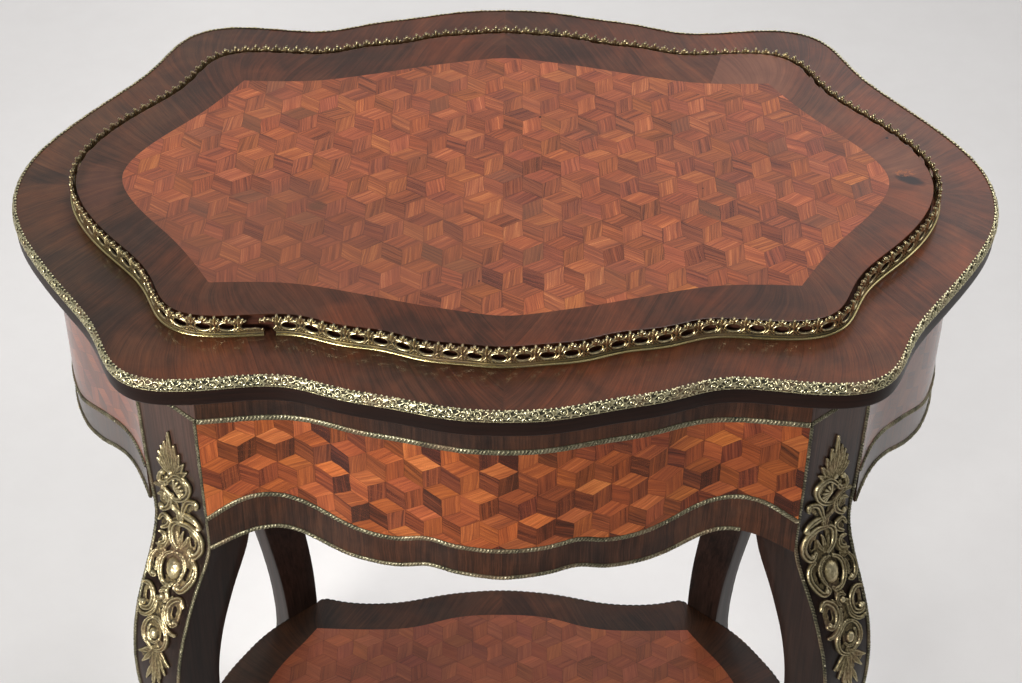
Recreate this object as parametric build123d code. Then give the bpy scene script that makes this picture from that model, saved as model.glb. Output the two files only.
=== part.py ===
from build123d import *
import math
import os

# ---------------------------------------------------------------------------
# Serpentine dressing table in cross-banded rosewood and tumbling-block
# parquetry: lift-off lid inside a pierced brass gallery, shaped frieze,
# four sawn cabriole legs set on the diagonal, and a shelf low between them.
# Millimetres. Z = 0 is the floor, +X the viewer's right, the front faces -Y.
# ---------------------------------------------------------------------------

# ---- driving dimensions ----------------------------------------------------
TOP_Z = 772.0            # upper surface of the fixed top
TOP_T = 24.0             # thickness of the fixed top
VENEER = 1.2             # thickness of all veneers
BAND_H = 8.6             # cast band round the edge of the top
BAND_T = 1.8
BAND_LIP = 4.0           # the band's lip over the veneer, measured in from the edge
LID_T = 14.5             # lid surface above the fixed top
LID_GAP = 5.5            # lid edge inside the gallery line
LID_DX = -2.2            # the loose lid lies a little to the left
FIELD_DX, FIELD_DY = 1.0, -5.7      # middle of the lid's inlaid field, a little off the lid's own middle
WELL_DY = -3.0           # well, gallery and lid lie a little forward
GAL_H = 19.0             # gallery, base to crest
GAL_BASE_H = 4.2
GAL_SEGMENTS = 16
GAL_WINDOWS = 104        # piercings round the whole gallery
OPEN_OFF = 38.0          # opening in the top, inside the gallery line
WELL_DEPTH = 92.0        # top surface down to the well floor
WELL_WALL = 8.0
FRIEZE_IN = 26.0         # frieze face inside the outer edge of the top
RAIL_T = 22.0
FILLET_Z = 62.0          # top frieze fillet below the top surface
SHELF_DROP = 660.0       # shelf surface below the top surface
SHELF_T = 17.0
FILLET_T = 1.6           # brass fillets, proud of the wood
SABOT_H = 52.0
LEG_FOOT = 2.0           # end of the wooden leg, inside its shoe

# plan outlines, polar: r = sum a_k cos(2 k angle); symmetric left and right
OUTER = (330.605, 62.759, -0.274, -6.479, 10.648, 7.024, -3.188, -3.461,
         1.840, 1.580, -0.796, -0.271)
GALLERY = (272.496, 64.716, 7.885, -5.728, 4.769, 7.718, 2.106, -2.935,
           -2.223, 1.183, 1.292, -0.480)

# mirror under the lid: the same curve, softened
MIRROR = (208.3, 62.9, 13.3, -4.2, 0.6)
BEAD_W = 6.0

# corner post: chord of its canted face in plan, front left quarter
POST_SIDE = (-287.0, -172.0)
POST_FRONT = (-233.0, -219.4)

# lower edge of the parquetry panels and of the aprons, below the top surface
FRONT_PANEL = ((0, 166.8), (14, 166.4), (30, 165.2), (43, 163.6), (55, 161.6), (64, 162.6),
               (74, 166.0), (85, 168.4), (98, 168.2), (110, 166.6), (122, 164.0), (134, 160.0),
               (146, 154.6), (158, 149.2), (170, 145.0), (181, 143.0), (193, 143.2),
               (205, 146.6), (216, 152.8), (228, 161.4), (238, 169.0))
FRONT_APRON = ((0, 198.0), (13, 197.0), (27, 195.6), (42, 193.6), (55, 191.6), (64, 193.0), (75, 197.0),
               (93, 199.8), (110, 199.2), (124, 198.0), (135, 195.4), (147, 190.4),
               (160, 184.2), (171, 180.4), (184, 179.6), (196, 181.4), (208, 185.6),
               (220, 191.6), (231, 198.0), (240, 203.0))
SIDE_PANEL = ((0, 177.0), (16, 178.4), (32, 181.0), (48, 182.6), (62, 179.4), (78, 171.4), (94, 162.6),
              (110, 154.6), (124, 148.6), (138, 144.6), (150, 144.6), (162, 149.0), (176, 157.0))
SIDE_APRON = ((0, 203.0), (16, 204.4), (32, 207.0), (48, 208.8), (66, 208.0), (80, 203.2), (96, 196.0),
              (110, 187.6), (124, 180.4), (138, 176.4), (150, 177.6), (162, 183.6), (176, 193.0))

# leg: below the top surface -> outer face along the diagonal, depth, width
LEG = ((24, 0.0, 43, 71.8), (62, 0.0, 43, 71.6), (110, -0.4, 43, 71.0), (150, -1.2, 43, 70.0),
       (180, -2.2, 43, 68.4), (200, -2.0, 43.4, 66.8), (212, 0.6, 45, 65.4), (225, 5.8, 48.0, 63.2),
       (240, 13.2, 50.0, 61.2), (260, 22.9, 49.5, 60.2), (280, 31.2, 48.6, 60.0), (300, 37.6, 47.6, 59.0),
       (320, 41.6, 46.4, 57.8), (340, 43.8, 45.2, 56.4), (370, 43.4, 43.0, 54.6), (400, 38.6, 40.4, 52.8),
       (440, 25.6, 36.4, 50.4), (480, 8.4, 32.4, 48.2), (520, -9.4, 29.0, 46.2), (560, -25.4, 26.4, 44.0),
       (600, -39.6, 24.6, 41.2), (640, -46.4, 24.2, 38.8), (665, -47.6, 24.6, 37.6), (690, -46.0, 25.4, 37.0),
       (715, -39.6, 27.0, 37.0), (740, -27.4, 29.6, 38.0), (758, -14.0, 32.6, 39.4), (770, -3.0, 36.0, 40.6))

# gilt mount on the canted face: below the top surface -> half width
CHUTE = ((74, 2.0), (88, 13.0), (104, 15.5), (120, 11.0), (136, 16.0), (152, 13.0), (168, 17.5),
         (190, 22.0), (214, 24.0), (240, 25.0), (262, 19.0), (282, 22.0), (304, 20.0), (322, 13.5),
         (340, 13.0), (356, 9.0), (374, 2.0))

# shelf outline, one quarter (back right), from the centre of the back
SHELF_BACK = ((0, 171), (35, 168.6), (70, 162.4), (98, 155.2), (126, 151.2), (150, 151.0),
              (168, 153.0), (182, 156.2), (191, 157.4), (197.5, 154.2))
SHELF_SIDE = ((226.2, 129.0), (237, 119), (254, 99.6), (268.5, 77.5), (281, 56), (290.4, 34),
              (296.2, 14), (298, 0))
# inlaid field of the shelf and of the lid, one quarter (back right)
SHELF_FIELD = ((0, 136.5), (28, 135.4), (56, 130.4), (82, 121.4), (106, 116.2), (132, 114.6), (162, 114.8), (196, 116.0))
SHELF_FIELD_SIDE = ((196, 116.0), (207, 98.0), (224, 73), (238, 46.5), (246, 22), (248, 0))
LID_FIELD = ((0, 178.0), (33, 173.0), (66, 165.4), (99, 156.0), (128, 148.0), (160, 141.0), (195, 139.0), (226, 140.0))
LID_FIELD_SIDE = ((226, 140.0), (243, 111), (263, 82), (284, 56), (301, 31), (309.5, 11), (311, 0))

os.makedirs("parts", exist_ok=True)


# ---- plan curves -----------------------------------------------------------
N = 720


def radial(coef, a):
    return sum(c * math.cos(2 * k * a) for k, c in enumerate(coef))


def dense(coef, inset=0.0, dx=0.0, dy=0.0):
    """Closed outline as N points, moved inwards along its normal by inset."""
    base = []
    for i in range(N):
        a = 2 * math.pi * i / N
        r = radial(coef, a)
        base.append((r * math.cos(a), r * math.sin(a)))
    out = []
    for i in range(N):
        x0, y0 = base[i - 1]
        x1, y1 = base[(i + 1) % N]
        tx, ty = x1 - x0, y1 - y0
        L = math.hypot(tx, ty)
        out.append((base[i][0] - ty / L * inset + dx, base[i][1] + tx / L * inset + dy))
    return out


def closed(points, step=6):
    return make_face(Spline(*[(x, y) for x, y in points[::step]], periodic=True))


def plate(face, z0, z1):
    return Pos(0, 0, z0) * extrude(face, amount=z1 - z0)


def arc(points, i0, i1, step=5):
    """Points of a closed outline from index i0 to i1, both ends kept."""
    n = max(2, round((i1 - i0) / step))
    idx = [i0 + (i1 - i0) * j / n for j in range(n + 1)]
    res = []
    for v in idx:
        k = int(math.floor(v))
        f = v - k
        ax, ay = points[k % N]
        bx, by = points[(k + 1) % N]
        res.append((ax + (bx - ax) * f, ay + (by - ay) * f))
    return res


def ribbon(outer, inner):
    """Face between two open runs of points, closed by a straight cut at each end."""
    a = Spline(*outer) if len(outer) > 2 else Line(outer[0], outer[1])
    b = Spline(*inner) if len(inner) > 2 else Line(inner[0], inner[1])
    return make_face([a, Line(outer[-1], inner[-1]), b, Line(inner[0], outer[0])])


def ring_piece(pts_out, pts_in, i0, i1, z0, z1, step=5):
    return plate(ribbon(arc(pts_out, i0, i1, step), arc(pts_in, i0, i1, step)), z0, z1)


def save(node, shapes):
    items = shapes if isinstance(shapes, list) else [shapes]
    solids = []
    for s in items:
        solids += list(s.solids())
    export_step(Compound(children=[Solid(s.wrapped) for s in solids]) if len(solids) > 1 else solids[0],
                "parts/" + node + ".step")


def mirror4(shape):
    """The front left piece and its three mirror images, in a fixed order."""
    fl = shape
    fr = mirror(shape, about=Plane.YZ)
    bl = mirror(shape, about=Plane.XZ)
    br = mirror(fr, about=Plane.XZ)
    return {"front_left": fl, "front_right": fr, "back_left": bl, "back_right": br}


def idx_at_angle(deg):
    return deg / 360.0 * N


# ---- fixed top: four boards mitred through the corner lobes ------------------
slab = dense(OUTER, BAND_T + 0.06)
outer_line = dense(OUTER, 0.0)
opening = dense(GALLERY, OPEN_OFF, 0, WELL_DY)
MITRE = 38.5
cuts = [idx_at_angle(a) for a in (-MITRE, MITRE, 180 - MITRE, 180 + MITRE, 360 - MITRE)]
zb, zt = TOP_Z - TOP_T, TOP_Z - VENEER
for name, (a, b) in zip(("right", "back", "left", "front"), zip(cuts[:-1], cuts[1:])):
    save("top_board_" + name, ring_piece(slab, opening, a, b, zb, zt))

quarters = [idx_at_angle(a) for a in (0, 90, 180, 270, 360)]
save("top_crossbanding", [ring_piece(slab, opening, a, b, zt, TOP_Z, 6)
                          for a, b in zip(quarters[:-1], quarters[1:])])
band_in = dense(OUTER, BAND_T)
band_mid = dense(OUTER, 0.7)
band_lip = dense(OUTER, BAND_LIP)


def band_piece(a, b):
    """One quarter of the cast band: upright face, eased arris and a lip over the veneer."""
    low = ring_piece(outer_line, band_in, a, b, TOP_Z - BAND_H - 0.3, TOP_Z - 1.4, 6)
    high = ring_piece(band_mid, band_in, a, b, TOP_Z - 1.4, TOP_Z + 0.8, 6)
    lip = ring_piece(band_in, band_lip, a, b, TOP_Z, TOP_Z + 0.8, 6)
    return low + high + lip


save("top_edge_band", [band_piece(a, b) for a, b in zip(quarters[:-1], quarters[1:])])

# ---- gallery: cast segments, base moulding and pierced wall -----------------
g_base_out = dense(GALLERY, -3.0, 0, WELL_DY)
g_base_in = dense(GALLERY, 1.6, 0, WELL_DY)
g_wall_out = dense(GALLERY, -1.0, 0, WELL_DY)
g_wall_in = dense(GALLERY, 1.0, 0, WELL_DY)
g_mid = dense(GALLERY, 0.0, 0, WELL_DY)


def arc_table(points):
    t = [0.0]
    for i in range(N):
        x0, y0 = points[i]
        x1, y1 = points[(i + 1) % N]
        t.append(t[-1] + math.hypot(x1 - x0, y1 - y0))
    return t


g_len = arc_table(g_mid)


def index_of_length(table, s):
    total = table[-1]
    turns = math.floor(s / total)
    s -= turns * total
    lo, hi = 0, N
    while hi - lo > 1:
        m = (lo + hi) // 2
        if table[m] <= s:
            lo = m
        else:
            hi = m
    return lo + (s - table[lo]) / (table[hi] - table[lo]) + turns * N


g_total = g_len[-1]
pitch = g_total / GAL_WINDOWS
seg_len = g_total / GAL_SEGMENTS
# a small length of the gallery is broken away near the front left corner
break_mid = None
best = 1e9
for i in range(N):
    d = math.hypot(g_mid[i][0] + 170.5, g_mid[i][1] + 199.5)
    if d < best:
        best, break_mid = d, g_len[i]
break_mid -= 4.6
first = break_mid
segments = []
for s in range(GAL_SEGMENTS):
    s0 = first + s * seg_len + (4.5 if s == 0 else 0.15)
    s1 = first + (s + 1) * seg_len - (4.5 if s == GAL_SEGMENTS - 1 else 0.15)
    i0, i1 = index_of_length(g_len, s0), index_of_length(g_len, s1)
    base = ring_piece(g_base_out, g_base_in, i0, i1, TOP_Z, TOP_Z + GAL_BASE_H, 4)
    wall = ring_piece(g_wall_out, g_wall_in, i0, i1, TOP_Z + GAL_BASE_H - 0.6, TOP_Z + GAL_H - 1.5, 4)
    tools = []
    n_win = int(round(GAL_WINDOWS / GAL_SEGMENTS * 2)) / 2
    count = GAL_WINDOWS // GAL_SEGMENTS
    step_w = seg_len / (count + 0.5)
    for w in range(count):
        sm = first + s * seg_len + (w + 0.75) * step_w
        k = index_of_length(g_len, sm)
        (ax, ay), (bx, by) = arc(g_mid, k - 2, k + 2, 2)[0], arc(g_mid, k - 2, k + 2, 2)[-1]
        mx, my = arc(g_mid, k, k + 1, 1)[0]
        ang = math.degrees(math.atan2(by - ay, bx - ax))
        tools.append(Pos(mx, my, TOP_Z + 9.4) * Rot(0, 0, ang) * Box(11.6, 8.0, 6.4))
    body = base + (wall - tools)
    segments.append(body)
save("gallery_segments", segments)

# ---- lid ----------------------------------------------------------------------
lid_edge = dense(GALLERY, 1.6 + LID_GAP - 1.6, LID_DX, WELL_DY)
lid_z0, lid_z1 = TOP_Z + 0.3, TOP_Z + LID_T
save("lid_board", plate(closed(lid_edge), lid_z0, lid_z1 - VENEER))


def four_fold(back, side, dx=0.0, dy=0.0):
    """Closed run of edges from one quarter: back edge, then side edge, mirrored."""
    b = [(x, y) for x, y in back]
    s = [(x, y) for x, y in side]
    top = [(-x, y) for x, y in reversed(b[1:])] + b
    rgt = s + [(x, -y) for x, y in reversed(s[:-1])]
    bot = [(x, -y) for x, y in reversed(b)] + [(-x, -y) for x, y in b[1:]]
    lft = [(-x, -y) for x, y in s] + [(-x, y) for x, y in reversed(s[:-1])]
    runs = []
    for run in (top, rgt, bot, lft):
        runs.append([(x + dx, y + dy) for x, y in run])
    return runs


def runs_face(runs):
    edges = []
    for i, run in enumerate(runs):
        edges.append(Spline(*run))
        nxt = runs[(i + 1) % 4]
        if math.hypot(run[-1][0] - nxt[0][0], run[-1][1] - nxt[0][1]) > 1e-6:
            edges.append(Line(run[-1], nxt[0]))
    return make_face(edges)


lid_field = runs_face(four_fold(LID_FIELD, LID_FIELD_SIDE, FIELD_DX, FIELD_DY))
field_solid = plate(lid_field, lid_z1 - VENEER, lid_z1)
save("lid_parquetry", field_solid)
save("lid_crossbanding", plate(closed(lid_edge), lid_z1 - VENEER, lid_z1) - field_solid)

# under the lid: locating frame, mirror and its retaining bead
loc_out = dense(GALLERY, OPEN_OFF + 1.6 + 2.4, LID_DX, WELL_DY)
loc_in = dense(MIRROR, -0.4, LID_DX, WELL_DY)
save("lid_locating_frame", [ring_piece(loc_out, loc_in, a, b, lid_z0 - 9.0, lid_z0, 6)
                            for a, b in zip(quarters[:-1], quarters[1:])])
mir_edge = dense(MIRROR, 0.0, LID_DX, WELL_DY)
save("lid_mirror", plate(closed(mir_edge), lid_z0 - 4.0, lid_z0))
bead_in = dense(MIRROR, BEAD_W, LID_DX, WELL_DY)
save("mirror_bead", [ring_piece(mir_edge, bead_in, a, b, lid_z0 - 8.6, lid_z0 - 4.0, 6)
                     for a, b in zip(quarters[:-1], quarters[1:])])

# ---- well under the lid ---------------------------------------------------------
w_in = opening
w_out = dense(GALLERY, OPEN_OFF - WELL_WALL, 0, WELL_DY)
w_floor_z = TOP_Z - WELL_DEPTH
well_cuts = [idx_at_angle(a) for a in (-30, -10, 10, 30, 50, 70, 90, 110, 130, 150, 170, 190, 210, 230, 250, 270, 290, 310, 330)]
save("well_walls", [ring_piece(w_out, w_in, a, b, w_floor_z, zb, 5)
                    for a, b in zip(well_cuts[:-1], well_cuts[1:])])
save("well_floor", plate(closed(w_out), w_floor_z - 8.0, w_floor_z))
DIV_X = 118.0
DIV_H = 56.0
opening_y = 0.0
for i in range(N // 4, N // 2):
    if abs(opening[i][0]) >= DIV_X:
        opening_y = opening[i][1] - WELL_DY
        break
dividers = []
for sx in (-1, 1):
    dividers.append(Pos(sx * DIV_X, WELL_DY, w_floor_z + DIV_H / 2) * Box(6.0, 2 * opening_y - 8.0, DIV_H))
save("well_dividers", dividers)
save("well_bearers", [Pos(0, sy * 110 + WELL_DY, w_floor_z - 8.0 - 9.0) * Box(540.0, 26.0, 18.0) for sy in (-1, 1)])

# ---- frieze -------------------------------------------------------------------
face_line = dense(OUTER, FRIEZE_IN)
core_line = dense(OUTER, FRIEZE_IN + VENEER)
back_line = dense(OUTER, FRIEZE_IN + VENEER + RAIL_T)
proud_line = dense(OUTER, FRIEZE_IN - FILLET_T)

psx, psy = POST_SIDE
pfx, pfy = POST_FRONT
cx0, cy0 = (psx + pfx) / 2, (psy + pfy) / 2
chord = math.hypot(pfx - psx, pfy - psy)
tx, ty = (pfx - psx) / chord, (pfy - psy) / chord
nx, ny = ty, -tx                     # outwards, away from the table's centre
if nx * cx0 + ny * cy0 < 0:
    nx, ny = -nx, -ny


def side_line(px, py, x, y):
    """Signed distance along the canted chord, from (px, py)."""
    return (x - px) * tx + (y - py) * ty


def clip_index(points, px, py, lo, hi):
    """Index between lo and hi at which a plan curve meets the post's side plane."""
    f = lambda v: side_line(px, py, *arc(points, v, v + 1, 1)[0])
    a, b = lo, hi
    fa = f(a)
    for _ in range(50):
        m = (a + b) / 2
        if (f(m) > 0) == (fa > 0):
            a = m
        else:
            b = m
    return (a + b) / 2


def front_span(points):
    """Index range of a plan curve between the two front posts."""
    i0 = clip_index(points, pfx, pfy, idx_at_angle(205), idx_at_angle(268))
    return i0, idx_at_angle(540) - i0 + idx_at_angle(0)


def side_span(points):
    """Index range on the left, between back left and front left posts."""
    i1 = clip_index(points, psx, psy, idx_at_angle(182), idx_at_angle(235))
    return idx_at_angle(360) - i1, i1


def span_face(out_pts, in_pts, kind, gap=0.0):
    span = front_span if kind == "front" else side_span
    a0, a1 = span(out_pts)
    b0, b1 = span(in_pts)
    return ribbon(arc(out_pts, a0 + gap, a1 - gap, 5), arc(in_pts, b0 + gap, b1 - gap, 5))


def profile_points(table, sign=1):
    pts = [(-x, -d) for x, d in reversed(table[1:])] + [(x, -d) for x, d in table]
    return pts


def under_region(table, kind, top_drop, shift=0.0, depth=80.0):
    """Volume below the top edge (top_drop) and above a scalloped lower line."""
    pts = [(x, z + TOP_Z - shift) for x, z in profile_points(table)]
    xr, zr = pts[-1]
    xl, zl = pts[0]
    zt_ = TOP_Z - top_drop
    sp = Spline(*pts)
    f2 = [sp, Line((xr, zr), (xr, zt_)), Line((xr, zt_), (xl, zt_)), Line((xl, zt_), (xl, zl))]
    if kind == "front":
        pl = Plane(origin=(0, -150, 0), x_dir=(1, 0, 0), z_dir=(0, -1, 0))
        return extrude(pl * make_face(f2), amount=160.0)
    pl = Plane(origin=(-240, 0, 0), x_dir=(0, -1, 0), z_dir=(-1, 0, 0))
    return extrude(pl * make_face(f2), amount=180.0)


def between_region(table_a, table_b, kind, sa=0.0, sb=0.0):
    """Volume between two scalloped lines, a above b."""
    pa = [(x, z + TOP_Z - sa) for x, z in profile_points(table_a)]
    pb = [(x, z + TOP_Z - sb) for x, z in profile_points(table_b)]
    xm = min(pa[-1][0], pb[-1][0])
    ea, eb = Spline(*pa), Spline(*pb)
    f = make_face([ea, Line(pa[-1], pb[-1]), eb, Line(pb[0], pa[0])])
    if kind == "front":
        pl = Plane(origin=(0, -150, 0), x_dir=(1, 0, 0), z_dir=(0, -1, 0))
        return extrude(pl * f, amount=160.0)
    pl = Plane(origin=(-240, 0, 0), x_dir=(0, -1, 0), z_dir=(-1, 0, 0))
    return extrude(pl * f, amount=180.0)


rails, panels, strips, aprons = {}, {}, {}, {}
low_fillets, edge_fillets, top_fillets = [], [], []
for kind, panel_t, apron_t in (("front", FRONT_PANEL, FRONT_APRON), ("side", SIDE_PANEL, SIDE_APRON)):
    core = span_face(core_line, back_line, kind)
    skin = span_face(face_line, core_line, kind)
    skin_trim = span_face(proud_line, face_line, kind)
    z_low = TOP_Z - 215.0
    rail = plate(core, z_low, zb) & under_region(apron_t, kind, TOP_T, 0.0)
    skin_all = plate(skin, z_low, zb)
    panel = plate(skin, z_low, TOP_Z - FILLET_Z) & under_region(panel_t, kind, FILLET_Z)
    strip = plate(skin, TOP_Z - FILLET_Z, zb)
    apron = skin_all & between_region(panel_t, apron_t, kind, 0.0, 0.0)
    trim = plate(skin_trim, z_low, zb)
    low = trim & between_region(panel_t, panel_t, kind, -2.0, 2.2)
    edge = trim & between_region(apron_t, apron_t, kind, -3.4, 0.6)
    topf = plate(skin_trim, TOP_Z - FILLET_Z - 2.2, TOP_Z - FILLET_Z + 2.2)
    rails[kind], panels[kind], strips[kind], aprons[kind] = rail, panel, strip, apron
    other = Plane.XZ if kind == "front" else Plane.YZ
    low_fillets += [low, mirror(low, about=other)]
    edge_fillets += [edge, mirror(edge, about=other)]
    top_fillets += [topf, mirror(topf, about=other)]

for kind, first_name, second_name, about in (("front", "front", "back", Plane.XZ), ("side", "left", "right", Plane.YZ)):
    for name, flip in ((first_name, False), (second_name, True)):
        pick = (lambda s: mirror(s, about=about)) if flip else (lambda s: s)
        save("frieze_rail_" + name, pick(rails[kind]))
        save("frieze_parquetry_" + name, pick(panels[kind]))
        save("apron_crossband_" + name, pick(aprons[kind]))
save("frieze_top_crossband", [strips["front"], mirror(strips["front"], about=Plane.XZ),
                              strips["side"], mirror(strips["side"], about=Plane.YZ)])
save("panel_lower_fillets", low_fillets)
save("apron_edge_fillets", edge_fillets)

# ---- legs ---------------------------------------------------------------------
diag = Plane(origin=(cx0, cy0, 0), x_dir=(nx, ny, 0), z_dir=(ny, -nx, 0))
cross = Plane(origin=(cx0, cy0, 0), x_dir=(tx, ty, 0), z_dir=(ty, -tx, 0))


def strip_face(left, right):
    """Face between two vertical runs of (offset, z) points given from the top down."""
    return make_face([Spline(*left), Line(left[-1], right[-1]), Spline(*right), Line(right[0], left[0])])


def leg_rows(z_lo, z_hi):
    """LEG rows between two heights, with interpolated end rows."""
    rows = [(TOP_Z - d, r, dd, w) for d, r, dd, w in LEG]

    def at(z):
        for (z1, *v1), (z2, *v2) in zip(rows[:-1], rows[1:]):
            if z2 <= z <= z1:
                f = (z1 - z) / (z1 - z2)
                return (z, *[p + (q - p) * f for p, q in zip(v1, v2)])
        return (z, *rows[-1][1:])
    mid = [r for r in rows if z_lo + 2 < r[0] < z_hi - 2]
    return [at(z_hi)] + mid + [at(z_lo)]


def leg_volume(z_lo, z_hi, grow=0.0):
    rows = leg_rows(z_lo, z_hi)
    a = strip_face([(r + grow, z) for z, r, dd, w in rows], [(r - dd - grow, z) for z, r, dd, w in rows])
    b = strip_face([(w / 2 + grow, z) for z, r, dd, w in rows], [(-w / 2 - grow, z) for z, r, dd, w in rows])
    return extrude(diag * a, amount=60, both=True) & extrude(cross * b, amount=160, both=True)


# a beech dowel joins each leg to the corner of the shelf
sz = TOP_Z - SHELF_DROP
zs = sz - SHELF_T / 2
row_s = leg_rows(zs - 1, zs + 1)[0]
inner = row_s[1] - row_s[2]          # inner face of the leg along the diagonal
dowel_plane = Plane(origin=(cx0 + nx * (inner + 13.0), cy0 + ny * (inner + 13.0), zs), z_dir=(-nx, -ny, 0))
dowel = extrude(dowel_plane * Circle(4.0), amount=36.0)
dowels = mirror4(dowel)
save("shelf_dowels", list(dowels.values()))

leg_fl = leg_volume(LEG_FOOT, TOP_Z - TOP_T) - dowel
for name, s in mirror4(leg_fl).items():
    save("leg_" + name, s)

# cast shoes round the feet
shoe = leg_volume(0.0, SABOT_H, 1.5) - leg_volume(LEG_FOOT, SABOT_H + 6.0)
for name, s in mirror4(shoe).items():
    save("sabot_" + name, s)

# brass fillets down both edges of the canted face
rows = leg_rows(SABOT_H + 0.4, TOP_Z - FILLET_Z - 2.25)
skin_region = extrude(diag * strip_face([(r + FILLET_T, z) for z, r, dd, w in rows],
                                        [(r, z) for z, r, dd, w in rows]), amount=60, both=True)
edge_strips = []
for sgn in (-1, 1):
    e = strip_face([(sgn * (w / 2 + 0.4), z) for z, r, dd, w in rows],
                   [(sgn * (w / 2 - 3.6), z) for z, r, dd, w in rows])
    edge_strips.append(skin_region & extrude(cross * e, amount=160, both=True))
leg_fillets = []
for e in edge_strips:
    leg_fillets += list(mirror4(e).values())
save("leg_edge_fillets", leg_fillets)

# short lengths of the top fillet across the canted faces
rt = [r for z, r, dd, w in leg_rows(TOP_Z - FILLET_Z - 2.2, TOP_Z - FILLET_Z + 2.2)][0]
half = chord / 2 - 0.2
cross_piece = extrude(diag * make_face(Polyline((rt + 0.05, TOP_Z - FILLET_Z - 2.2), (rt + FILLET_T, TOP_Z - FILLET_Z - 2.2),
                                              (rt + FILLET_T, TOP_Z - FILLET_Z + 2.2), (rt + 0.05, TOP_Z - FILLET_Z + 2.2),
                                              close=True)), amount=half, both=True)
save("frieze_top_fillet", top_fillets + list(mirror4(cross_piece).values()))

# gilt chutes on the knees
crow = [(TOP_Z - d, h) for d, h in CHUTE]
lrow = leg_rows(crow[-1][0], crow[0][0])
chute_a = extrude(diag * strip_face([(r + 5.0, z) for z, r, dd, w in lrow], [(r + 0.05, z) for z, r, dd, w in lrow]),
                  amount=60, both=True)
chute_b = extrude(cross * strip_face([(h, z) for z, h in crow], [(-h, z) for z, h in crow]), amount=160, both=True)
chute = chute_a & chute_b
for name, s in mirror4(chute).items():
    save("knee_mount_" + name, s)

# ---- shelf --------------------------------------------------------------------
shelf_runs = four_fold(SHELF_BACK, SHELF_SIDE)
shelf_face = runs_face(shelf_runs)
board = plate(shelf_face, sz - SHELF_T, sz - VENEER)
for d in dowels.values():
    board = board - d
save("shelf_board", board)
shelf_field = plate(runs_face(four_fold(SHELF_FIELD, SHELF_FIELD_SIDE)), sz - VENEER, sz)
save("shelf_parquetry", shelf_field)
save("shelf_crossbanding", plate(shelf_face, sz - VENEER, sz) - shelf_field)


def outward(run, d):
    res = []
    for i, (x, y) in enumerate(run):
        x0, y0 = run[max(0, i - 1)]
        x1, y1 = run[min(len(run) - 1, i + 1)]
        L = math.hypot(x1 - x0, y1 - y0)
        res.append((x - (y1 - y0) / L * d, y + (x1 - x0) / L * d))
    return res


def thin_out(run):
    return run


moulding = []
for run in shelf_runs:
    # runs are clockwise seen from above, so outwards is to the left of travel
    inner = run
    outer = outward(run, 2.4)
    moulding.append(plate(ribbon(outer, inner), sz - 8.0, sz + 0.8))
save("shelf_edge_moulding", moulding)

# ---- fixings ------------------------------------------------------------------
# glue blocks inside the rails, up against the top boards
blocks = []
for bx in (-120, 0, 120):
    k = min(range(N // 2, N), key=lambda i: abs(back_line[i][0] - bx) + (1000 if back_line[i][1] > 0 else 0))
    y_in = back_line[k][1]
    lo = max(back_line[j][1] for j in range(N // 2, N) if abs(back_line[j][0] - bx) < 23)
    blk = Pos(bx, lo + 7.2, zb - 12) * Box(44, 14, 24)
    blocks += [blk, mirror(blk, about=Plane.XZ)]
save("glue_blocks", blocks)

print("written", len(os.listdir("parts")), "nodes; gallery length %.0f, pitch %.2f" % (g_total, pitch))
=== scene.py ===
import math

import bpy
import numpy as np
from mathutils import Matrix, Vector


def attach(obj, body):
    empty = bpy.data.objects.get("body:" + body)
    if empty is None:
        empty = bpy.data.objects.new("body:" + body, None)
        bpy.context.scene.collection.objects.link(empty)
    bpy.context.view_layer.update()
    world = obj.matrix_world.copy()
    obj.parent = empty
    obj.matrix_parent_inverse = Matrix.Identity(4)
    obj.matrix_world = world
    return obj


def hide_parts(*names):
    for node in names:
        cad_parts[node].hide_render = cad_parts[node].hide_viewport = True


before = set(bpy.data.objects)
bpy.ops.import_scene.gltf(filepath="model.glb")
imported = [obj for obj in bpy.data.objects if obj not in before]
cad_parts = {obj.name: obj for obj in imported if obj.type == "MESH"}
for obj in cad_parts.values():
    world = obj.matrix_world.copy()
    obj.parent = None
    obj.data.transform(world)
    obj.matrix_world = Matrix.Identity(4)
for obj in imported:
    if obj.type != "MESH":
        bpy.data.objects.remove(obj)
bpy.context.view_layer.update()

MM = 0.001

# ---------------------------------------------------------------------------
# design values shared with the CAD model, millimetres
# ---------------------------------------------------------------------------
TOP_Z, TOP_T, VENEER = 772.0, 24.0, 1.2
BAND_H, BAND_T = 8.6, 1.8
LID_T, LID_GAP, LID_DX, WELL_DY = 14.5, 5.5, -2.2, -3.0
GAL_H, GAL_BASE_H = 19.0, 4.2
OPEN_OFF = 38.0
BAND_LIP, FIELD_DX, FIELD_DY = 4.0, 1.0, -5.7
FRIEZE_IN, RAIL_T, FILLET_Z, FILLET_T = 26.0, 22.0, 62.0, 1.6
SHELF_DROP, SHELF_T = 660.0, 17.0
SABOT_H, LEG_FOOT, MITRE = 52.0, 2.0, 38.5
SZ = TOP_Z - SHELF_DROP
LID_Z1 = TOP_Z + LID_T

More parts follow.
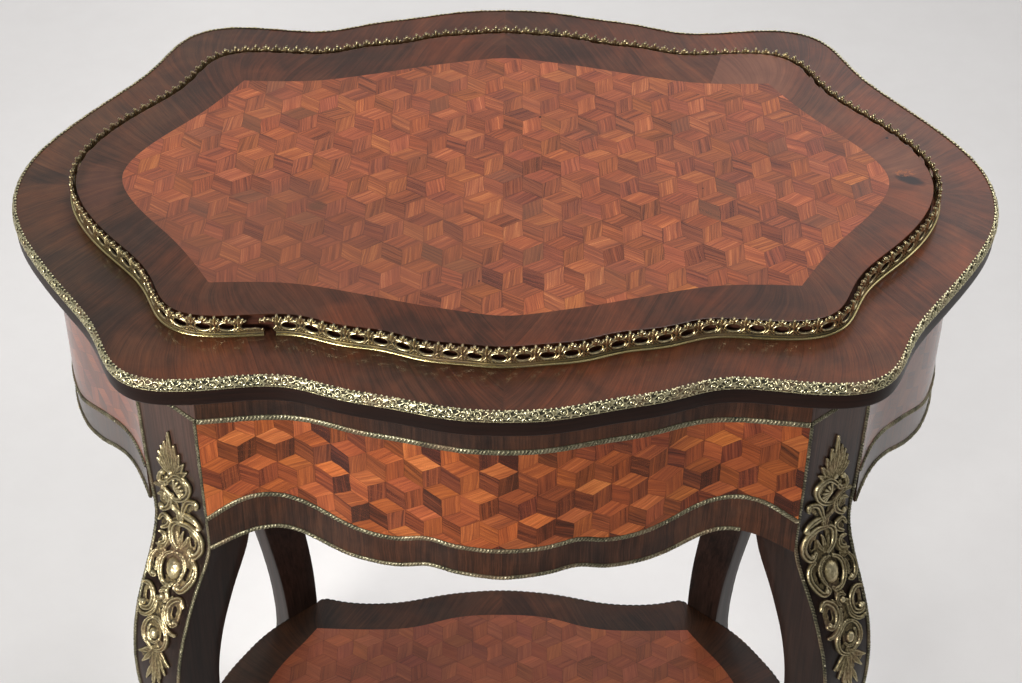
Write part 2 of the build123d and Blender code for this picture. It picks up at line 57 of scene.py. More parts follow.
OUTER = (330.605, 62.759, -0.274, -6.479, 10.648, 7.024, -3.188, -3.461, 1.840, 1.580, -0.796, -0.271)
GALLERY = (272.496, 64.716, 7.885, -5.728, 4.769, 7.718, 2.106, -2.935, -2.223, 1.183, 1.292, -0.480)
POST_SIDE, POST_FRONT = (-287.0, -172.0), (-233.0, -219.4)
FRONT_PANEL = ((0, 166.8), (14, 166.4), (30, 165.2), (43, 163.6), (55, 161.6), (64, 162.6),
               (74, 166.0), (85, 168.4), (98, 168.2), (110, 166.6), (122, 164.0), (134, 160.0),
               (146, 154.6), (158, 149.2), (170, 145.0), (181, 143.0), (193, 143.2),
               (205, 146.6), (216, 152.8), (228, 161.4), (238, 169.0))
FRONT_APRON = ((0, 198.0), (13, 197.0), (27, 195.6), (42, 193.6), (55, 191.6), (64, 193.0), (75, 197.0),
               (93, 199.8), (110, 199.2), (124, 198.0), (135, 195.4), (147, 190.4),
               (160, 184.2), (171, 180.4), (184, 179.6), (196, 181.4), (208, 185.6),
               (220, 191.6), (231, 198.0), (240, 203.0))
SIDE_PANEL = ((0, 177.0), (16, 178.4), (32, 181.0), (48, 182.6), (62, 179.4), (78, 171.4), (94, 162.6),
              (110, 154.6), (124, 148.6), (138, 144.6), (150, 144.6), (162, 149.0), (176, 157.0))
SIDE_APRON = ((0, 203.0), (16, 204.4), (32, 207.0), (48, 208.8), (66, 208.0), (80, 203.2), (96, 196.0),
              (110, 187.6), (124, 180.4), (138, 176.4), (150, 177.6), (162, 183.6), (176, 193.0))
LEG = ((24, 0.0, 43, 71.8), (62, 0.0, 43, 71.6), (110, -0.4, 43, 71.0), (150, -1.2, 43, 70.0),
       (180, -2.2, 43, 68.4), (200, -2.0, 43.4, 66.8), (212, 0.6, 45, 65.4), (225, 5.8, 48.0, 63.2),
       (240, 13.2, 50.0, 61.2), (260, 22.9, 49.5, 60.2), (280, 31.2, 48.6, 60.0), (300, 37.6, 47.6, 59.0),
       (320, 41.6, 46.4, 57.8), (340, 43.8, 45.2, 56.4), (370, 43.4, 43.0, 54.6), (400, 38.6, 40.4, 52.8),
       (440, 25.6, 36.4, 50.4), (480, 8.4, 32.4, 48.2), (520, -9.4, 29.0, 46.2), (560, -25.4, 26.4, 44.0),
       (600, -39.6, 24.6, 41.2), (640, -46.4, 24.2, 38.8), (665, -47.6, 24.6, 37.6), (690, -46.0, 25.4, 37.0),
       (715, -39.6, 27.0, 37.0), (740, -27.4, 29.6, 38.0), (758, -14.0, 32.6, 39.4), (770, -3.0, 36.0, 40.6))
SHELF_BACK = ((0, 171), (35, 168.6), (70, 162.4), (98, 155.2), (126, 151.2), (150, 151.0),
              (168, 153.0), (182, 156.2), (191, 157.4), (197.5, 154.2))
SHELF_SIDE = ((226.2, 129.0), (237, 119), (254, 99.6), (268.5, 77.5), (281, 56), (290.4, 34),
              (296.2, 14), (298, 0))
SHELF_FIELD = ((0, 136.5), (28, 135.4), (56, 130.4), (82, 121.4), (106, 116.2), (132, 114.6), (162, 114.8), (196, 116.0))
SHELF_FIELD_SIDE = ((196, 116.0), (207, 98.0), (224, 73), (238, 46.5), (246, 22), (248, 0))
LID_FIELD = ((0, 178.0), (33, 173.0), (66, 165.4), (99, 156.0), (128, 148.0), (160, 141.0), (195, 139.0), (226, 140.0))
LID_FIELD_SIDE = ((226, 140.0), (243, 111), (263, 82), (284, 56), (301, 31), (309.5, 11), (311, 0))


# ---------------------------------------------------------------------------
# small numeric tools
# ---------------------------------------------------------------------------
def unit(v):
    return v / np.maximum(np.linalg.norm(v, axis=-1, keepdims=True), 1e-12)


def spline1(xs, ys, x):
    """Natural cubic spline through (xs, ys), read at x."""
    xs, ys, x = np.asarray(xs, float), np.asarray(ys, float), np.asarray(x, float)
    n = len(xs)
    h = np.diff(xs)
    A = np.zeros((n, n))
    b = np.zeros(n)
    A[0, 0] = A[-1, -1] = 1.0
    for i in range(1, n - 1):
        A[i, i - 1], A[i, i], A[i, i + 1] = h[i - 1], 2 * (h[i - 1] + h[i]), h[i]
        b[i] = 6 * ((ys[i + 1] - ys[i]) / h[i] - (ys[i] - ys[i - 1]) / h[i - 1])
    m = np.linalg.solve(A, b)
    k = np.clip(np.searchsorted(xs, x) - 1, 0, n - 2)
    t = x - xs[k]
    return (ys[k] + t * ((ys[k + 1] - ys[k]) / h[k] - h[k] * (2 * m[k] + m[k + 1]) / 6)
            + t * t * m[k] / 2 + t ** 3 * (m[k + 1] - m[k]) / (6 * h[k]))


def pspline(points, step=1.0):
    """Smooth open curve through 2-D points, sampled about every step."""
    p = np.asarray(points, float)
    s = np.r_[0, np.cumsum(np.linalg.norm(np.diff(p, axis=0), axis=1))]
    q = np.linspace(0, s[-1], max(3, int(s[-1] / step) + 1))
    return np.stack([spline1(s, p[:, k], q) for k in range(p.shape[1])], 1)


def plan(coef, inset=0.0, dx=0.0, dy=0.0, n=2880):
    a = np.arange(n) * 2 * np.pi / n
    r = sum(c * np.cos(2 * k * a) for k, c in enumerate(coef))
    b = np.stack([r * np.cos(a), r * np.sin(a)], 1)
    t = unit(np.roll(b, -1, 0) - np.roll(b, 1, 0))
    out = np.stack([t[:, 1], -t[:, 0]], 1)
    return b - out * inset + np.array([dx, dy])


def arclen(p, closed):
    q = np.vstack([p, p[:1]]) if closed else p
    return np.r_[0, np.cumsum(np.linalg.norm(np.diff(q, axis=0), axis=1))]


def resample(p, step, closed=True):
    q = np.vstack([p, p[:1]]) if closed else p
    s = arclen(p, closed)
    n = int(round(s[-1] / step))
    t = np.linspace(0, s[-1], n, endpoint=False) if closed else np.linspace(0, s[-1], n + 1)
    return np.stack([np.interp(t, s, q[:, k]) for k in range(q.shape[1])], 1), t, s[-1]


def smooth_loop(v, width):
    """Circular moving average, twice, over width samples."""
    w = int(width) | 1
    k = np.ones(w) / w
    for _ in range(2):
        ext = np.concatenate([v[-w:], v, v[:w]])
        v = np.apply_along_axis(lambda c: np.convolve(c, k, "same"), 0, ext)[w:-w]
    return v


def normals2(p, closed=True):
    """Outward normals of a counter-clockwise plan curve."""
    if closed:
        t = np.roll(p, -1, 0) - np.roll(p, 1, 0)
    else:
        t = np.gradient(p, axis=0)
    t = unit(t)
    return np.stack([t[:, 1], -t[:, 0]], 1)


# ---------------------------------------------------------------------------
# meshes
# ---------------------------------------------------------------------------
def make_obj(name, verts, faces, body, mats, slot=None, gc=None, hh=None, replaces=(), sharp=38.0, midx=None):
    verts = np.asarray(verts, float)
    faces = [np.asarray(f, np.int64) for f in faces if len(f)]
    me = bpy.data.meshes.new(name)
    me.vertices.add(len(verts))
    me.vertices.foreach_set("co", (verts * MM).astype(np.float32).ravel())
    loops = np.concatenate([f.ravel() for f in faces]).astype(np.int32)
    sizes = np.concatenate([np.full(len(f), f.shape[1]) for f in faces])
    starts = np.r_[0, np.cumsum(sizes)[:-1]].astype(np.int32)
    me.loops.add(len(loops))
    me.loops.foreach_set("vertex_index", loops)
    me.polygons.add(len(sizes))
    me.polygons.foreach_set("loop_start", starts)
    me.update(calc_edges=True)
    if gc is not None:
        a = me.attributes.new("gc", "FLOAT_VECTOR", "POINT")
        a.data.foreach_set("vector", np.asarray(gc, np.float32).ravel())
    if hh is not None:
        a = me.attributes.new("hh", "FLOAT", "POINT")
        a.data.foreach_set("value", np.asarray(hh, np.float32).ravel())
    me.validate()
    me.polygons.foreach_set("use_smooth", np.ones(len(me.polygons), bool))
    if midx is not None and len(midx) == len(me.polygons):
        me.polygons.foreach_set("material_index", np.asarray(midx, np.int32))
    if sharp:
        me.set_sharp_from_angle(angle=math.radians(sharp))
    for m in (mats if isinstance(mats, (list, tuple)) else [mats]):
        me.materials.append(m)
    ob = bpy.data.objects.new(name, me)
    bpy.context.scene.collection.objects.link(ob)
    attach(ob, body)
    if replaces:
        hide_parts(*replaces)
    return ob


def grid_faces(n, m, cu, cv, base=0):
    i = np.arange(n if cu else n - 1)
    j = np.arange(m if cv else m - 1)
    I, J = np.meshgrid(i, j, indexing="ij")
    a = I * m + J
    b = ((I + 1) % n) * m + J
    c = ((I + 1) % n) * m + (J + 1) % m
    d = I * m + (J + 1) % m
    return np.stack([a, b, c, d], -1).reshape(-1, 4) + base


class Pile:
    """Collects lofts into one mesh."""

    def __init__(self):
        self.v, self.f, self.g, self.h, self.n = [], [], [], [], 0

    def add(self, P, faces, gc=None, hh=None):
        P = np.asarray(P, float).reshape(-1, 3)
        self.v.append(P)
        self.f += [np.asarray(f) + self.n for f in faces]
        self.g.append(np.zeros((len(P), 3)) if gc is None else np.asarray(gc, float).reshape(-1, 3))
        self.h.append(np.zeros(len(P)) if hh is None else np.asarray(hh, float).ravel())
        self.n += len(P)

    def loft(self, P, cu=False, cv=True, caps=True, gc=None, hh=None, flip=False):
        """P: (along, section, 3). A closed section gets end caps when the run is open."""
        n, m = P.shape[:2]
        f = grid_faces(n, m, cu, cv)
        if flip:
            f = f[:, ::-1]
        faces = [f]
        if caps and not cu and cv:
            e0 = np.arange(m)[None, ::-1]
            e1 = (np.arange(m) + (n - 1) * m)[None, :]
            if flip:
                e0, e1 = e0[:, ::-1], e1[:, ::-1]
            faces += [e0, e1]
        self.add(P, faces, gc, hh)

    def make(self, name, body, mats, **kw):
        f3 = {}
        for f in self.f:
            f3.setdefault(f.shape[1], []).append(f)
        return make_obj(name, np.vstack(self.v), [np.vstack(x) for x in f3.values()], body, mats,
                        gc=np.vstack(self.g), hh=np.concatenate(self.h), **kw)


def lift(p, z):
    return np.concatenate([p, np.full(p.shape[:-1] + (1,), float(z))], -1)


# ---------------------------------------------------------------------------
# node materials
# ---------------------------------------------------------------------------
class Mat:
    def __init__(self, name):
        self.m = bpy.data.materials.new(name)
        self.m.use_nodes = True
        self.t = self.m.node_tree
        self.t.nodes.clear()
        o = self.t.nodes.new("ShaderNodeOutputMaterial")
        self.b = self.t.nodes.new("ShaderNodeBsdfPrincipled")
        self.link(self.b.outputs[0], o.inputs[0])

    def link(self, a, b):
        self.t.links.new(a, b)

    def put(self, sock, v):
        if hasattr(v, "is_linked") or isinstance(v, bpy.types.NodeSocket):
            self.link(v, sock)
        else:
            sock.default_value = v

    def math(self, op, a, b=None, c=None, clamp=False):
        n = self.t.nodes.new("ShaderNodeMath")
        n.operation = op
        n.use_clamp = clamp
        for s, v in zip(n.inputs, (a, b, c)):
            if v is not None:
                self.put(s, v)
        return n.outputs[0]

    def vm(self, op, a, b=None, out=0):
        n = self.t.nodes.new("ShaderNodeVectorMath")
        n.operation = op
        self.put(n.inputs[0], a)
        if b is not None:
            self.put(n.inputs["Scale"] if op == "SCALE" else n.inputs[1], b)
        return n.outputs["Value"] if out else n.outputs["Vector"]

    def comb(self, x, y, z=0.0):
        n = self.t.nodes.new("ShaderNodeCombineXYZ")
        for s, v in zip(n.inputs, (x, y, z)):
            self.put(s, v)
        return n.outputs[0]

    def sep(self, v):
        n = self.t.nodes.new("ShaderNodeSeparateXYZ")
        self.link(v, n.inputs[0])
        return n.outputs[0], n.outputs[1], n.outputs[2]

    def attr(self, name):
        n = self.t.nodes.new("ShaderNodeAttribute")
        n.attribute_name = name
        return n.outputs["Vector"], n.outputs["Fac"]

    def obj(self):
        return self.t.nodes.new("ShaderNodeTexCoord").outputs["Object"]

    def noise(self, v, detail=3.0, rough=0.55, dist=0.0, scale=1.0):
        n = self.t.nodes.new("ShaderNodeTexNoise")
        self.link(v, n.inputs["Vector"])
        n.inputs["Scale"].default_value = scale
        n.inputs["Detail"].default_value = detail
        n.inputs["Roughness"].default_value = rough
        n.inputs["Distortion"].default_value = dist
        return n.outputs[0]

    def white(self, v):
        n = self.t.nodes.new("ShaderNodeTexWhiteNoise")
        n.noise_dimensions = "3D"
        self.link(v, n.inputs["Vector"])
        return n.outputs["Value"], n.outputs["Color"]

    def maprange(self, v, a, b, c=0.0, d=1.0, smooth=False):
        n = self.t.nodes.new("ShaderNodeMapRange")
        if smooth:
            n.interpolation_type = "SMOOTHSTEP"
        self.link(v, n.inputs[0])
        for k, x in zip((1, 2, 3, 4), (a, b, c, d)):
            n.inputs[k].default_value = x
        return n.outputs[0]

    def ramp(self, v, stops):
        n = self.t.nodes.new("ShaderNodeValToRGB")
        self.link(v, n.inputs[0])
        e = n.color_ramp.elements
        while len(e) < len(stops):
            e.new(0.5)
        for k, (pos, col) in zip(e, stops):
            k.position = pos
            k.color = (*col, 1.0)
        return n.outputs[0]

    def mix(self, f, a, b, kind="MIX"):
        n = self.t.nodes.new("ShaderNodeMix")
        n.data_type = "RGBA"
        n.blend_type = kind
        self.put(n.inputs[0], f)
        for s, v in ((n.inputs[6], a), (n.inputs[7], b)):
            self.put(s, (*v, 1.0) if isinstance(v, tuple) and len(v) == 3 else v)
        return n.outputs[2]

    def mixf(self, f, a, b):
        n = self.t.nodes.new("ShaderNodeMix")
        n.data_type = "FLOAT"
        self.put(n.inputs[0], f)
        self.put(n.inputs[2], a)
        self.put(n.inputs[3], b)
        return n.outputs[0]

    def mixv(self, f, a, b):
        n = self.t.nodes.new("ShaderNodeMix")
        n.data_type = "VECTOR"
        self.put(n.inputs[0], f)
        self.put(n.inputs[4], a)
        self.put(n.inputs[5], b)
        return n.outputs[1]

    def bump(self, h, strength, dist_mm, normal=None):
        n = self.t.nodes.new("ShaderNodeBump")
        n.inputs["Strength"].default_value = strength
        n.inputs["Distance"].default_value = dist_mm * MM
        self.link(h, n.inputs["Height"])
        if normal is not None:
            self.link(normal, n.inputs["Normal"])
        return n.outputs[0]

    def set(self, **kw):
        for k, v in kw.items():
            self.put(self.b.inputs[k.replace("_", " ")], (*v, 1.0) if isinstance(v, tuple) and len(v) == 3 else v)
        return self.m


def varnish(M, coat=0.75, rough=0.12):
    M.b.inputs["Coat Weight"].default_value = coat
    M.b.inputs["Coat Roughness"].default_value = rough
    M.b.inputs["Coat IOR"].default_value = 1.5
    M.b.inputs["Specular IOR Level"].default_value = 0.14


def wear_nodes(M):
    """Slow cloudy tone and fine specks in object space, for any varnished wood."""
    o = M.obj()
    cloud = M.noise(M.vm("SCALE", o, 9.0), 3.0, 0.6)
    fine = M.noise(M.vm("SCALE", o, 260.0), 2.0, 0.6)
    return o, cloud, fine


def cross_material(name, leaf=64.0, gain=1.0, coat=0.65, crough=0.10, rel=1.0, marks_and_sheen=False, level=0.0, streak=1.0, hue=(1.06, 1.0, 0.86), right=1.0):
    """Cross-banded rosewood veneer: gc = (across grain, along grain, number)."""
    M = Mat(name)
    gc, _ = M.attr("gc")
    u, v, k = M.sep(gc)
    o, cloud, fine = wear_nodes(M)
    bend = M.math("MULTIPLY", M.math("SUBTRACT", M.noise(M.comb(M.math("MULTIPLY", u, 0.03), M.math("MULTIPLY", v, 0.03), k)), 0.5), 4.5)
    u1 = M.math("ADD", u, bend)
    lf = M.math("FLOOR", M.math("DIVIDE", u, leaf))
    rnd, rcol = M.white(M.comb(lf, k, 3.7))
    r1, r2, r3 = M.sep(rcol)
    seed = M.math("MULTIPLY", rnd, 40.0)
    g1 = M.noise(M.comb(M.math("MULTIPLY", u1, 0.85), M.math("MULTIPLY", v, 0.022), seed), 5.0, 0.66)
    g2 = M.noise(M.comb(M.math("MULTIPLY", u1, 0.20), M.math("MULTIPLY", v, 0.010), M.math("ADD", seed, 9.0)), 2.0, 0.55)
    g3 = M.noise(M.comb(M.math("MULTIPLY", u1, 3.0), M.math("MULTIPLY", v, 0.07), seed), 2.0, 0.6)
    blot = M.noise(M.vm("SCALE", o, 28.0), 3.0, 0.55, 0.6)
    tone = M.math("ADD", M.math("MULTIPLY", M.math("SUBTRACT", g1, 0.5), 0.62 * streak), M.math("MULTIPLY", M.math("SUBTRACT", g2, 0.5), 0.42 * streak))
    tone = M.math("ADD", tone, 0.5 + level)
    tone = M.math("ADD", tone, M.math("MULTIPLY", M.math("SUBTRACT", r1, 0.5), 0.12))
    tone = M.math("ADD", tone, M.math("MULTIPLY", M.math("SUBTRACT", cloud, 0.5), 0.22))
    tone = M.math("ADD", tone, M.math("MULTIPLY", M.math("SUBTRACT", blot, 0.5), 0.34))
    if marks_and_sheen:
        # painted sheen: the tone is lifted towards the right end, standing in for the light falling there
        tone = M.math("ADD", tone, M.maprange(M.sep(o)[0], 0.14, 0.31, 0.0, 0.07, smooth=True))
    S = lambda r, g_, b_: (r * gain * hue[0], g_ * gain * hue[1], b_ * gain * hue[2])
    col = M.ramp(tone, [(0.26, S(0.017, 0.0080, 0.0058)), (0.44, S(0.050, 0.0185, 0.0110)), (0.58, S(0.098, 0.0315, 0.0160)),
                        (0.80, S(0.190, 0.0560, 0.0250))])
    pores = M.maprange(g3, 0.30, 0.44, 0.60, 1.0)
    patch = M.noise(M.vm("SCALE", o, 15.0), 4.0, 0.6, 0.5)
    # painted haze: less red towards the left end of the piece, standing in for the grey haze of reflected light there
    painted_haze_left = M.maprange(M.sep(o)[0], -0.38, -0.12, 0.77, 1.0, smooth=True)
    if right != 1.0:
        # the right end is lightened: partly painted sheen, standing in for the light falling there, and partly a little
        # bleaching of the veneer
        pores = M.math("MULTIPLY", pores, M.maprange(M.sep(o)[0], 0.14, 0.37, 1.0, right, smooth=True))
    pr = M.math("MULTIPLY", M.math("MULTIPLY", pores, painted_haze_left), M.maprange(patch, 0.36, 0.64, 0.84, 1.16))
    pb = M.math("MULTIPLY", pores, M.maprange(patch, 0.36, 0.64, 1.16, 0.86))
    col = M.mix(1.0, col, M.comb(pr, pores, pb), "MULTIPLY")
    fu = M.math("SUBTRACT", u, M.math("MULTIPLY", lf, leaf))
    joint = M.maprange(M.math("MINIMUM", fu, M.math("SUBTRACT", leaf, fu)), 0.10, 0.35, 0.62, 1.0)
    col = M.mix(1.0, col, M.comb(joint, joint, joint), "MULTIPLY")
    if marks_and_sheen:
        p = M.vm("SCALE", o, 1000.0)
        x, y, z = M.sep(p)
        # a paler replaced leaf at the back right, a knot at the right tip, a worm hole
        edge = M.math("ADD", x, M.math("MULTIPLY", M.math("SUBTRACT", y, 133.0), -0.28))
        m1 = M.math("MULTIPLY", M.maprange(edge, 176.5, 177.5, smooth=True), M.maprange(x, 262.0, 226.0, smooth=True))
        m1 = M.math("MULTIPLY", m1, M.maprange(y, 100.0, 128.0, smooth=True))
        pale = M.ramp(tone, [(0.25, (0.090, 0.031, 0.019)), (0.5, (0.160, 0.058, 0.032)), (0.75, (0.26, 0.105, 0.055))])
        col = M.mix(M.math("MULTIPLY", m1, 0.85), col, pale)
        m2 = spot(M, x, y, -326.0, -24.0, 15.0, 30.0, 0.8)
        col = M.mix(M.math("MULTIPLY", m2, 0.45), col, pale)
        m3 = spot(M, x, y, 318.0, 18.0, 22.0, 26.0, 0.9, 0.5)
        col = M.mix(M.math("MULTIPLY", m3, 0.55), col, pale)
        kn = spot(M, x, y, 329.0, -7.0, 12.0, 5.5, 0.6, -0.5)
        col = M.mix(M.math("MULTIPLY", kn, 0.9), col, (0.010, 0.006, 0.006))
        fl = M.math("MULTIPLY", spot(M, x, y, 326.0, 3.0, 9.0, 5.0, 0.5), M.maprange(M.noise(M.vm("SCALE", o, 420.0), 2.0, 0.6), 0.50, 0.58))
        col = M.mix(M.math("MULTIPLY", fl, 0.8), col, (0.36, 0.105, 0.03))
        for hx, hy, hr in ((318.4, 52.8, 1.3), (-248.0, 96.0, 0.9), (140.0, -196.0, 0.9)):
            col = M.mix(spot(M, x, y, hx, hy, hr, hr, 0.3), col, (0.004, 0.003, 0.003))
    M.link(col, M.b.inputs["Base Color"])
    M.link(M.math("ADD", M.math("MULTIPLY", g1, 0.14), 0.33), M.b.inputs["Roughness"])
    varnish(M, coat, crough)
    h = M.math("ADD", M.math("MULTIPLY", g3, 0.5), M.math("MULTIPLY", fine, 0.6))
    nb = M.bump(h, 0.25 * rel, 0.10)
    M.link(M.bump(cloud, 0.25 * rel, 1.2, nb), M.b.inputs["Normal"])
    nc = M.bump(cloud, 0.22 * rel, 1.2)
    M.link(M.bump(g3, 0.05 * rel, 0.08, nc), M.b.inputs["Coat Normal"])
    return M.m


def parquet_material(name, w=15.65, ay=19.8, org=(14.5, -163.3), tones=(0.44, 0.50, 0.57), spread=0.26, grain=1.5,
                     gain=1.0, rare_dark=0.0, coat=0.6, crough=0.13, warp=0.5, level=0.0, fine_f=0.52, odd=0.0, fade=False):
    """Tumbling blocks: gc = (x, y, number) in millimetres; w half a lozenge's width, ay its upright side."""
    M = Mat(name)
    gc, _ = M.attr("gc")
    x0, y0, k = M.sep(gc)
    o, cloud, fine = wear_nodes(M)
    a = 18.0
    H = math.sqrt(3) / 2
    w1 = M.noise(M.comb(M.math("MULTIPLY", x0, 0.05), M.math("MULTIPLY", y0, 0.05), k), 2.0)
    w2 = M.noise(M.comb(M.math("MULTIPLY", x0, 0.05), M.math("MULTIPLY", y0, 0.05), M.math("ADD", k, 7.0)), 2.0)
    x = M.math("MULTIPLY", M.math("SUBTRACT", x0, org[0]), H * a / w)
    y = M.math("MULTIPLY", M.math("SUBTRACT", y0, org[1]), a / ay)
    x = M.math("ADD", x, M.math("MULTIPLY", M.math("SUBTRACT", w1, 0.5), 5.5 * warp))
    y = M.math("ADD", y, M.math("MULTIPLY", M.math("SUBTRACT", w2, 0.5), 5.5 * warp))
    px, py = math.sqrt(3) * a, 3 * a
    vx, vy = M.math("DIVIDE", x, px), M.math("DIVIDE", y, py)
    ax, ayy = M.math("FLOOR", M.math("ADD", vx, 0.5)), M.math("FLOOR", M.math("ADD", vy, 0.5))
    bx, by = M.math("ADD", M.math("FLOOR", vx), 0.5), M.math("ADD", M.math("FLOOR", vy), 0.5)
    dax, day = M.math("SUBTRACT", x, M.math("MULTIPLY", ax, px)), M.math("SUBTRACT", y, M.math("MULTIPLY", ayy, py))
    dbx, dby = M.math("SUBTRACT", x, M.math("MULTIPLY", bx, px)), M.math("SUBTRACT", y, M.math("MULTIPLY", by, py))
    la = M.math("ADD", M.math("MULTIPLY", dax, dax), M.math("MULTIPLY", day, day))
    lb = M.math("ADD", M.math("MULTIPLY", dbx, dbx), M.math("MULTIPLY", dby, dby))
    pick = M.math("LESS_THAN", lb, la)
    qx, qy = M.mixf(pick, dax, dbx), M.mixf(pick, day, dby)
    cx, cy = M.mixf(pick, ax, bx), M.mixf(pick, ayy, by)
    top = M.math("GREATER_THAN", qy, M.math("MULTIPLY", M.math("ABSOLUTE", qx), 1 / math.sqrt(3)))
    right = M.math("GREATER_THAN", qx, 0.0)
    s, c = math.sin, math.cos
    e30, e150, e270 = (c(math.radians(30)), 0.5, 0.0), (-c(math.radians(30)), 0.5, 0.0), (0.0, -1.0, 0.0)
    eA = M.mixv(top, M.mixv(right, e150, e270), e30)
    eB = M.mixv(top, M.mixv(right, e270, e30), e150)
    q = M.comb(qx, qy, 0.0)
    _, _, cb = M.sep(M.vm("CROSS_PRODUCT", q, eB))
    _, _, ca = M.sep(M.vm("CROSS_PRODUCT", eA, q))
    al, be = M.math("DIVIDE", cb, H), M.math("DIVIDE", ca, H)
    d = M.math("MINIMUM", M.math("MINIMUM", al, M.math("SUBTRACT", a, al)),
               M.math("MINIMUM", be, M.math("SUBTRACT", a, be)))
    face = M.math("MINIMUM", M.math("ADD", M.math("MULTIPLY", top, 2.0), right), 2.0)
    key = M.comb(M.math("ADD", M.math("MULTIPLY", cx, 2.0), M.math("MULTIPLY", k, 31.0)), M.math("MULTIPLY", cy, 2.0), face)
    rnd, rcol = M.white(key)
    r1, r2, r3 = M.sep(rcol)
    gdir = M.mixv(top, M.mixv(right, e150, e270), e30)
    _, _, across = M.sep(M.vm("CROSS_PRODUCT", gdir, q))
    along = M.vm("DOT_PRODUCT", gdir, q, 1)
    seed = M.math("MULTIPLY", rnd, 60.0)
    lean = M.math("MULTIPLY", M.math("SUBTRACT", r2, 0.5), 0.28)
    across = M.math("ADD", across, M.math("MULTIPLY", along, lean))
    g1 = M.noise(M.comb(M.math("MULTIPLY", across, fine_f), M.math("MULTIPLY", along, 0.010), seed), 4.0, 0.74)
    g2 = M.noise(M.comb(M.math("MULTIPLY", across, 0.13), M.math("MULTIPLY", along, 0.01), M.math("ADD", seed, 5.0)), 1.0, 0.5)
    g3 = M.noise(M.comb(M.math("MULTIPLY", across, 2.6), M.math("MULTIPLY", along, 0.05), seed), 2.0, 0.6)
    g = M.math("ADD", M.math("MULTIPLY", g1, 0.74), M.math("MULTIPLY", g2, 0.26))
    base = M.mixf(top, M.mixf(right, tones[0], tones[1]), tones[2])
    tone = M.math("ADD", base, M.math("MULTIPLY", M.math("SUBTRACT", r1, 0.5), 2 * spread))
    tone = M.math("ADD", tone, M.math("MULTIPLY", M.math("SUBTRACT", g, 0.5), grain))
    tone = M.math("ADD", tone, M.math("MULTIPLY", M.math("SUBTRACT", cloud, 0.5), 0.35))
    if rare_dark:
        tone = M.math("SUBTRACT", tone, M.math("MULTIPLY", M.math("GREATER_THAN", r3, 0.80), M.math("MULTIPLY", M.math("SUBTRACT", 1.0, top), rare_dark)))
    if level:
        tone = M.math("ADD", tone, level)
    S = lambda r, g_, b_: (min(1.0, r * gain), g_ * gain, b_ * gain)
    col = M.ramp(tone, [(0.0, S(0.055, 0.019, 0.013)), (0.22, S(0.150, 0.040, 0.020)), (0.46, S(0.300, 0.078, 0.030)),
                        (0.70, S(0.470, 0.128, 0.042)), (0.95, S(0.70, 0.23, 0.075))])
    pores = M.maprange(g3, 0.30, 0.46, 0.70, 1.0)
    col = M.mix(1.0, col, M.comb(pores, M.math("MULTIPLY", pores, M.maprange(r2, 0.0, 1.0, 0.90, 1.07)),
                                 M.math("MULTIPLY", pores, M.maprange(M.math("FRACT", M.math("MULTIPLY", r3, 7.0)), 0.0, 1.0, 0.82, 1.16))), "MULTIPLY")
    if odd:
        col = M.mix(M.math("MULTIPLY", M.math("GREATER_THAN", M.math("FRACT", M.math("MULTIPLY", r1, 9.0)), 1.0 - odd), 0.45), col, (0.105, 0.060, 0.036))
    if fade:
        # painted light: the colour runs from lighter at the frieze's left end to darker at its right, standing in for
        # light falling off across it
        fx = M.maprange(x0, -240.0, 250.0, 1.10, 0.84)
        col = M.mix(1.0, col, M.comb(fx, M.math("MULTIPLY", fx, 0.97), M.math("MULTIPLY", fx, 0.86)), "MULTIPLY")
    jr = M.math("ADD", M.math("MULTIPLY", M.noise(M.comb(M.math("MULTIPLY", x0, 0.09), M.math("MULTIPLY", y0, 0.09), 3.0)), 0.9), -0.05)
    joint = M.maprange(d, 0.06, 0.40, 0.0, 1.0, smooth=True)
    joint = M.math("SUBTRACT", 1.0, M.math("MULTIPLY", M.math("SUBTRACT", 1.0, joint), jr))
    col = M.mix(1.0, col, M.comb(joint, joint, joint), "MULTIPLY")
    return M, col, dict(x=x0, y=y0, k=k, g1=g1, g3=g3, joint=joint, r3=r3, cloud=cloud, fine=fine, coat=coat, crough=crough)


def finish_parquet(M, col, d):
    M.link(col, M.b.inputs["Base Color"])
    M.link(M.math("ADD", M.math("MULTIPLY", d["g1"], 0.15), 0.34), M.b.inputs["Roughness"])
    varnish(M, d["coat"], d["crough"])
    h = M.math("ADD", M.math("MULTIPLY", d["g3"], 0.35), M.math("MULTIPLY", d["joint"], 1.0))
    h = M.math("ADD", h, M.math("MULTIPLY", d["r3"], 0.35))
    nb = M.bump(h, 0.35, 0.10)
    M.link(M.bump(d["cloud"], 0.25, 1.2, nb), M.b.inputs["Normal"])
    M.link(M.bump(M.math("ADD", d["cloud"], M.math("MULTIPLY", d["r3"], 0.03)), 0.2, 1.2), M.b.inputs["Coat Normal"])
    return M.m


def spot(M, x, y, cx, cy, rx, ry, soft=0.5, rot=0.0):
    """1 inside an ellipse at (cx, cy) with a soft, slightly ragged edge."""
    dx, dy = M.math("SUBTRACT", x, cx), M.math("SUBTRACT", y, cy)
    if rot:
        c, s = math.cos(rot), math.sin(rot)
        dx, dy = (M.math("ADD", M.math("MULTIPLY", dx, c), M.math("MULTIPLY", dy, s)),
                  M.math("SUBTRACT", M.math("MULTIPLY", dy, c), M.math("MULTIPLY", dx, s)))
    ex, ey = M.math("DIVIDE", dx, rx), M.math("DIVIDE", dy, ry)
    r = M.math("ADD", M.math("MULTIPLY", ex, ex), M.math("MULTIPLY", ey, ey))
    n = M.noise(M.comb(M.math("MULTIPLY", x, 3.0 / (rx + ry)), M.math("MULTIPLY", y, 3.0 / (rx + ry)), cx), 3.0, 0.6)
    r = M.math("ADD", r, M.math("MULTIPLY", M.math("SUBTRACT", n, 0.5), 1.6 * soft))
    return M.maprange(r, 1.0 + soft, 1.0 - soft, 0.0, 1.0, smooth=True)


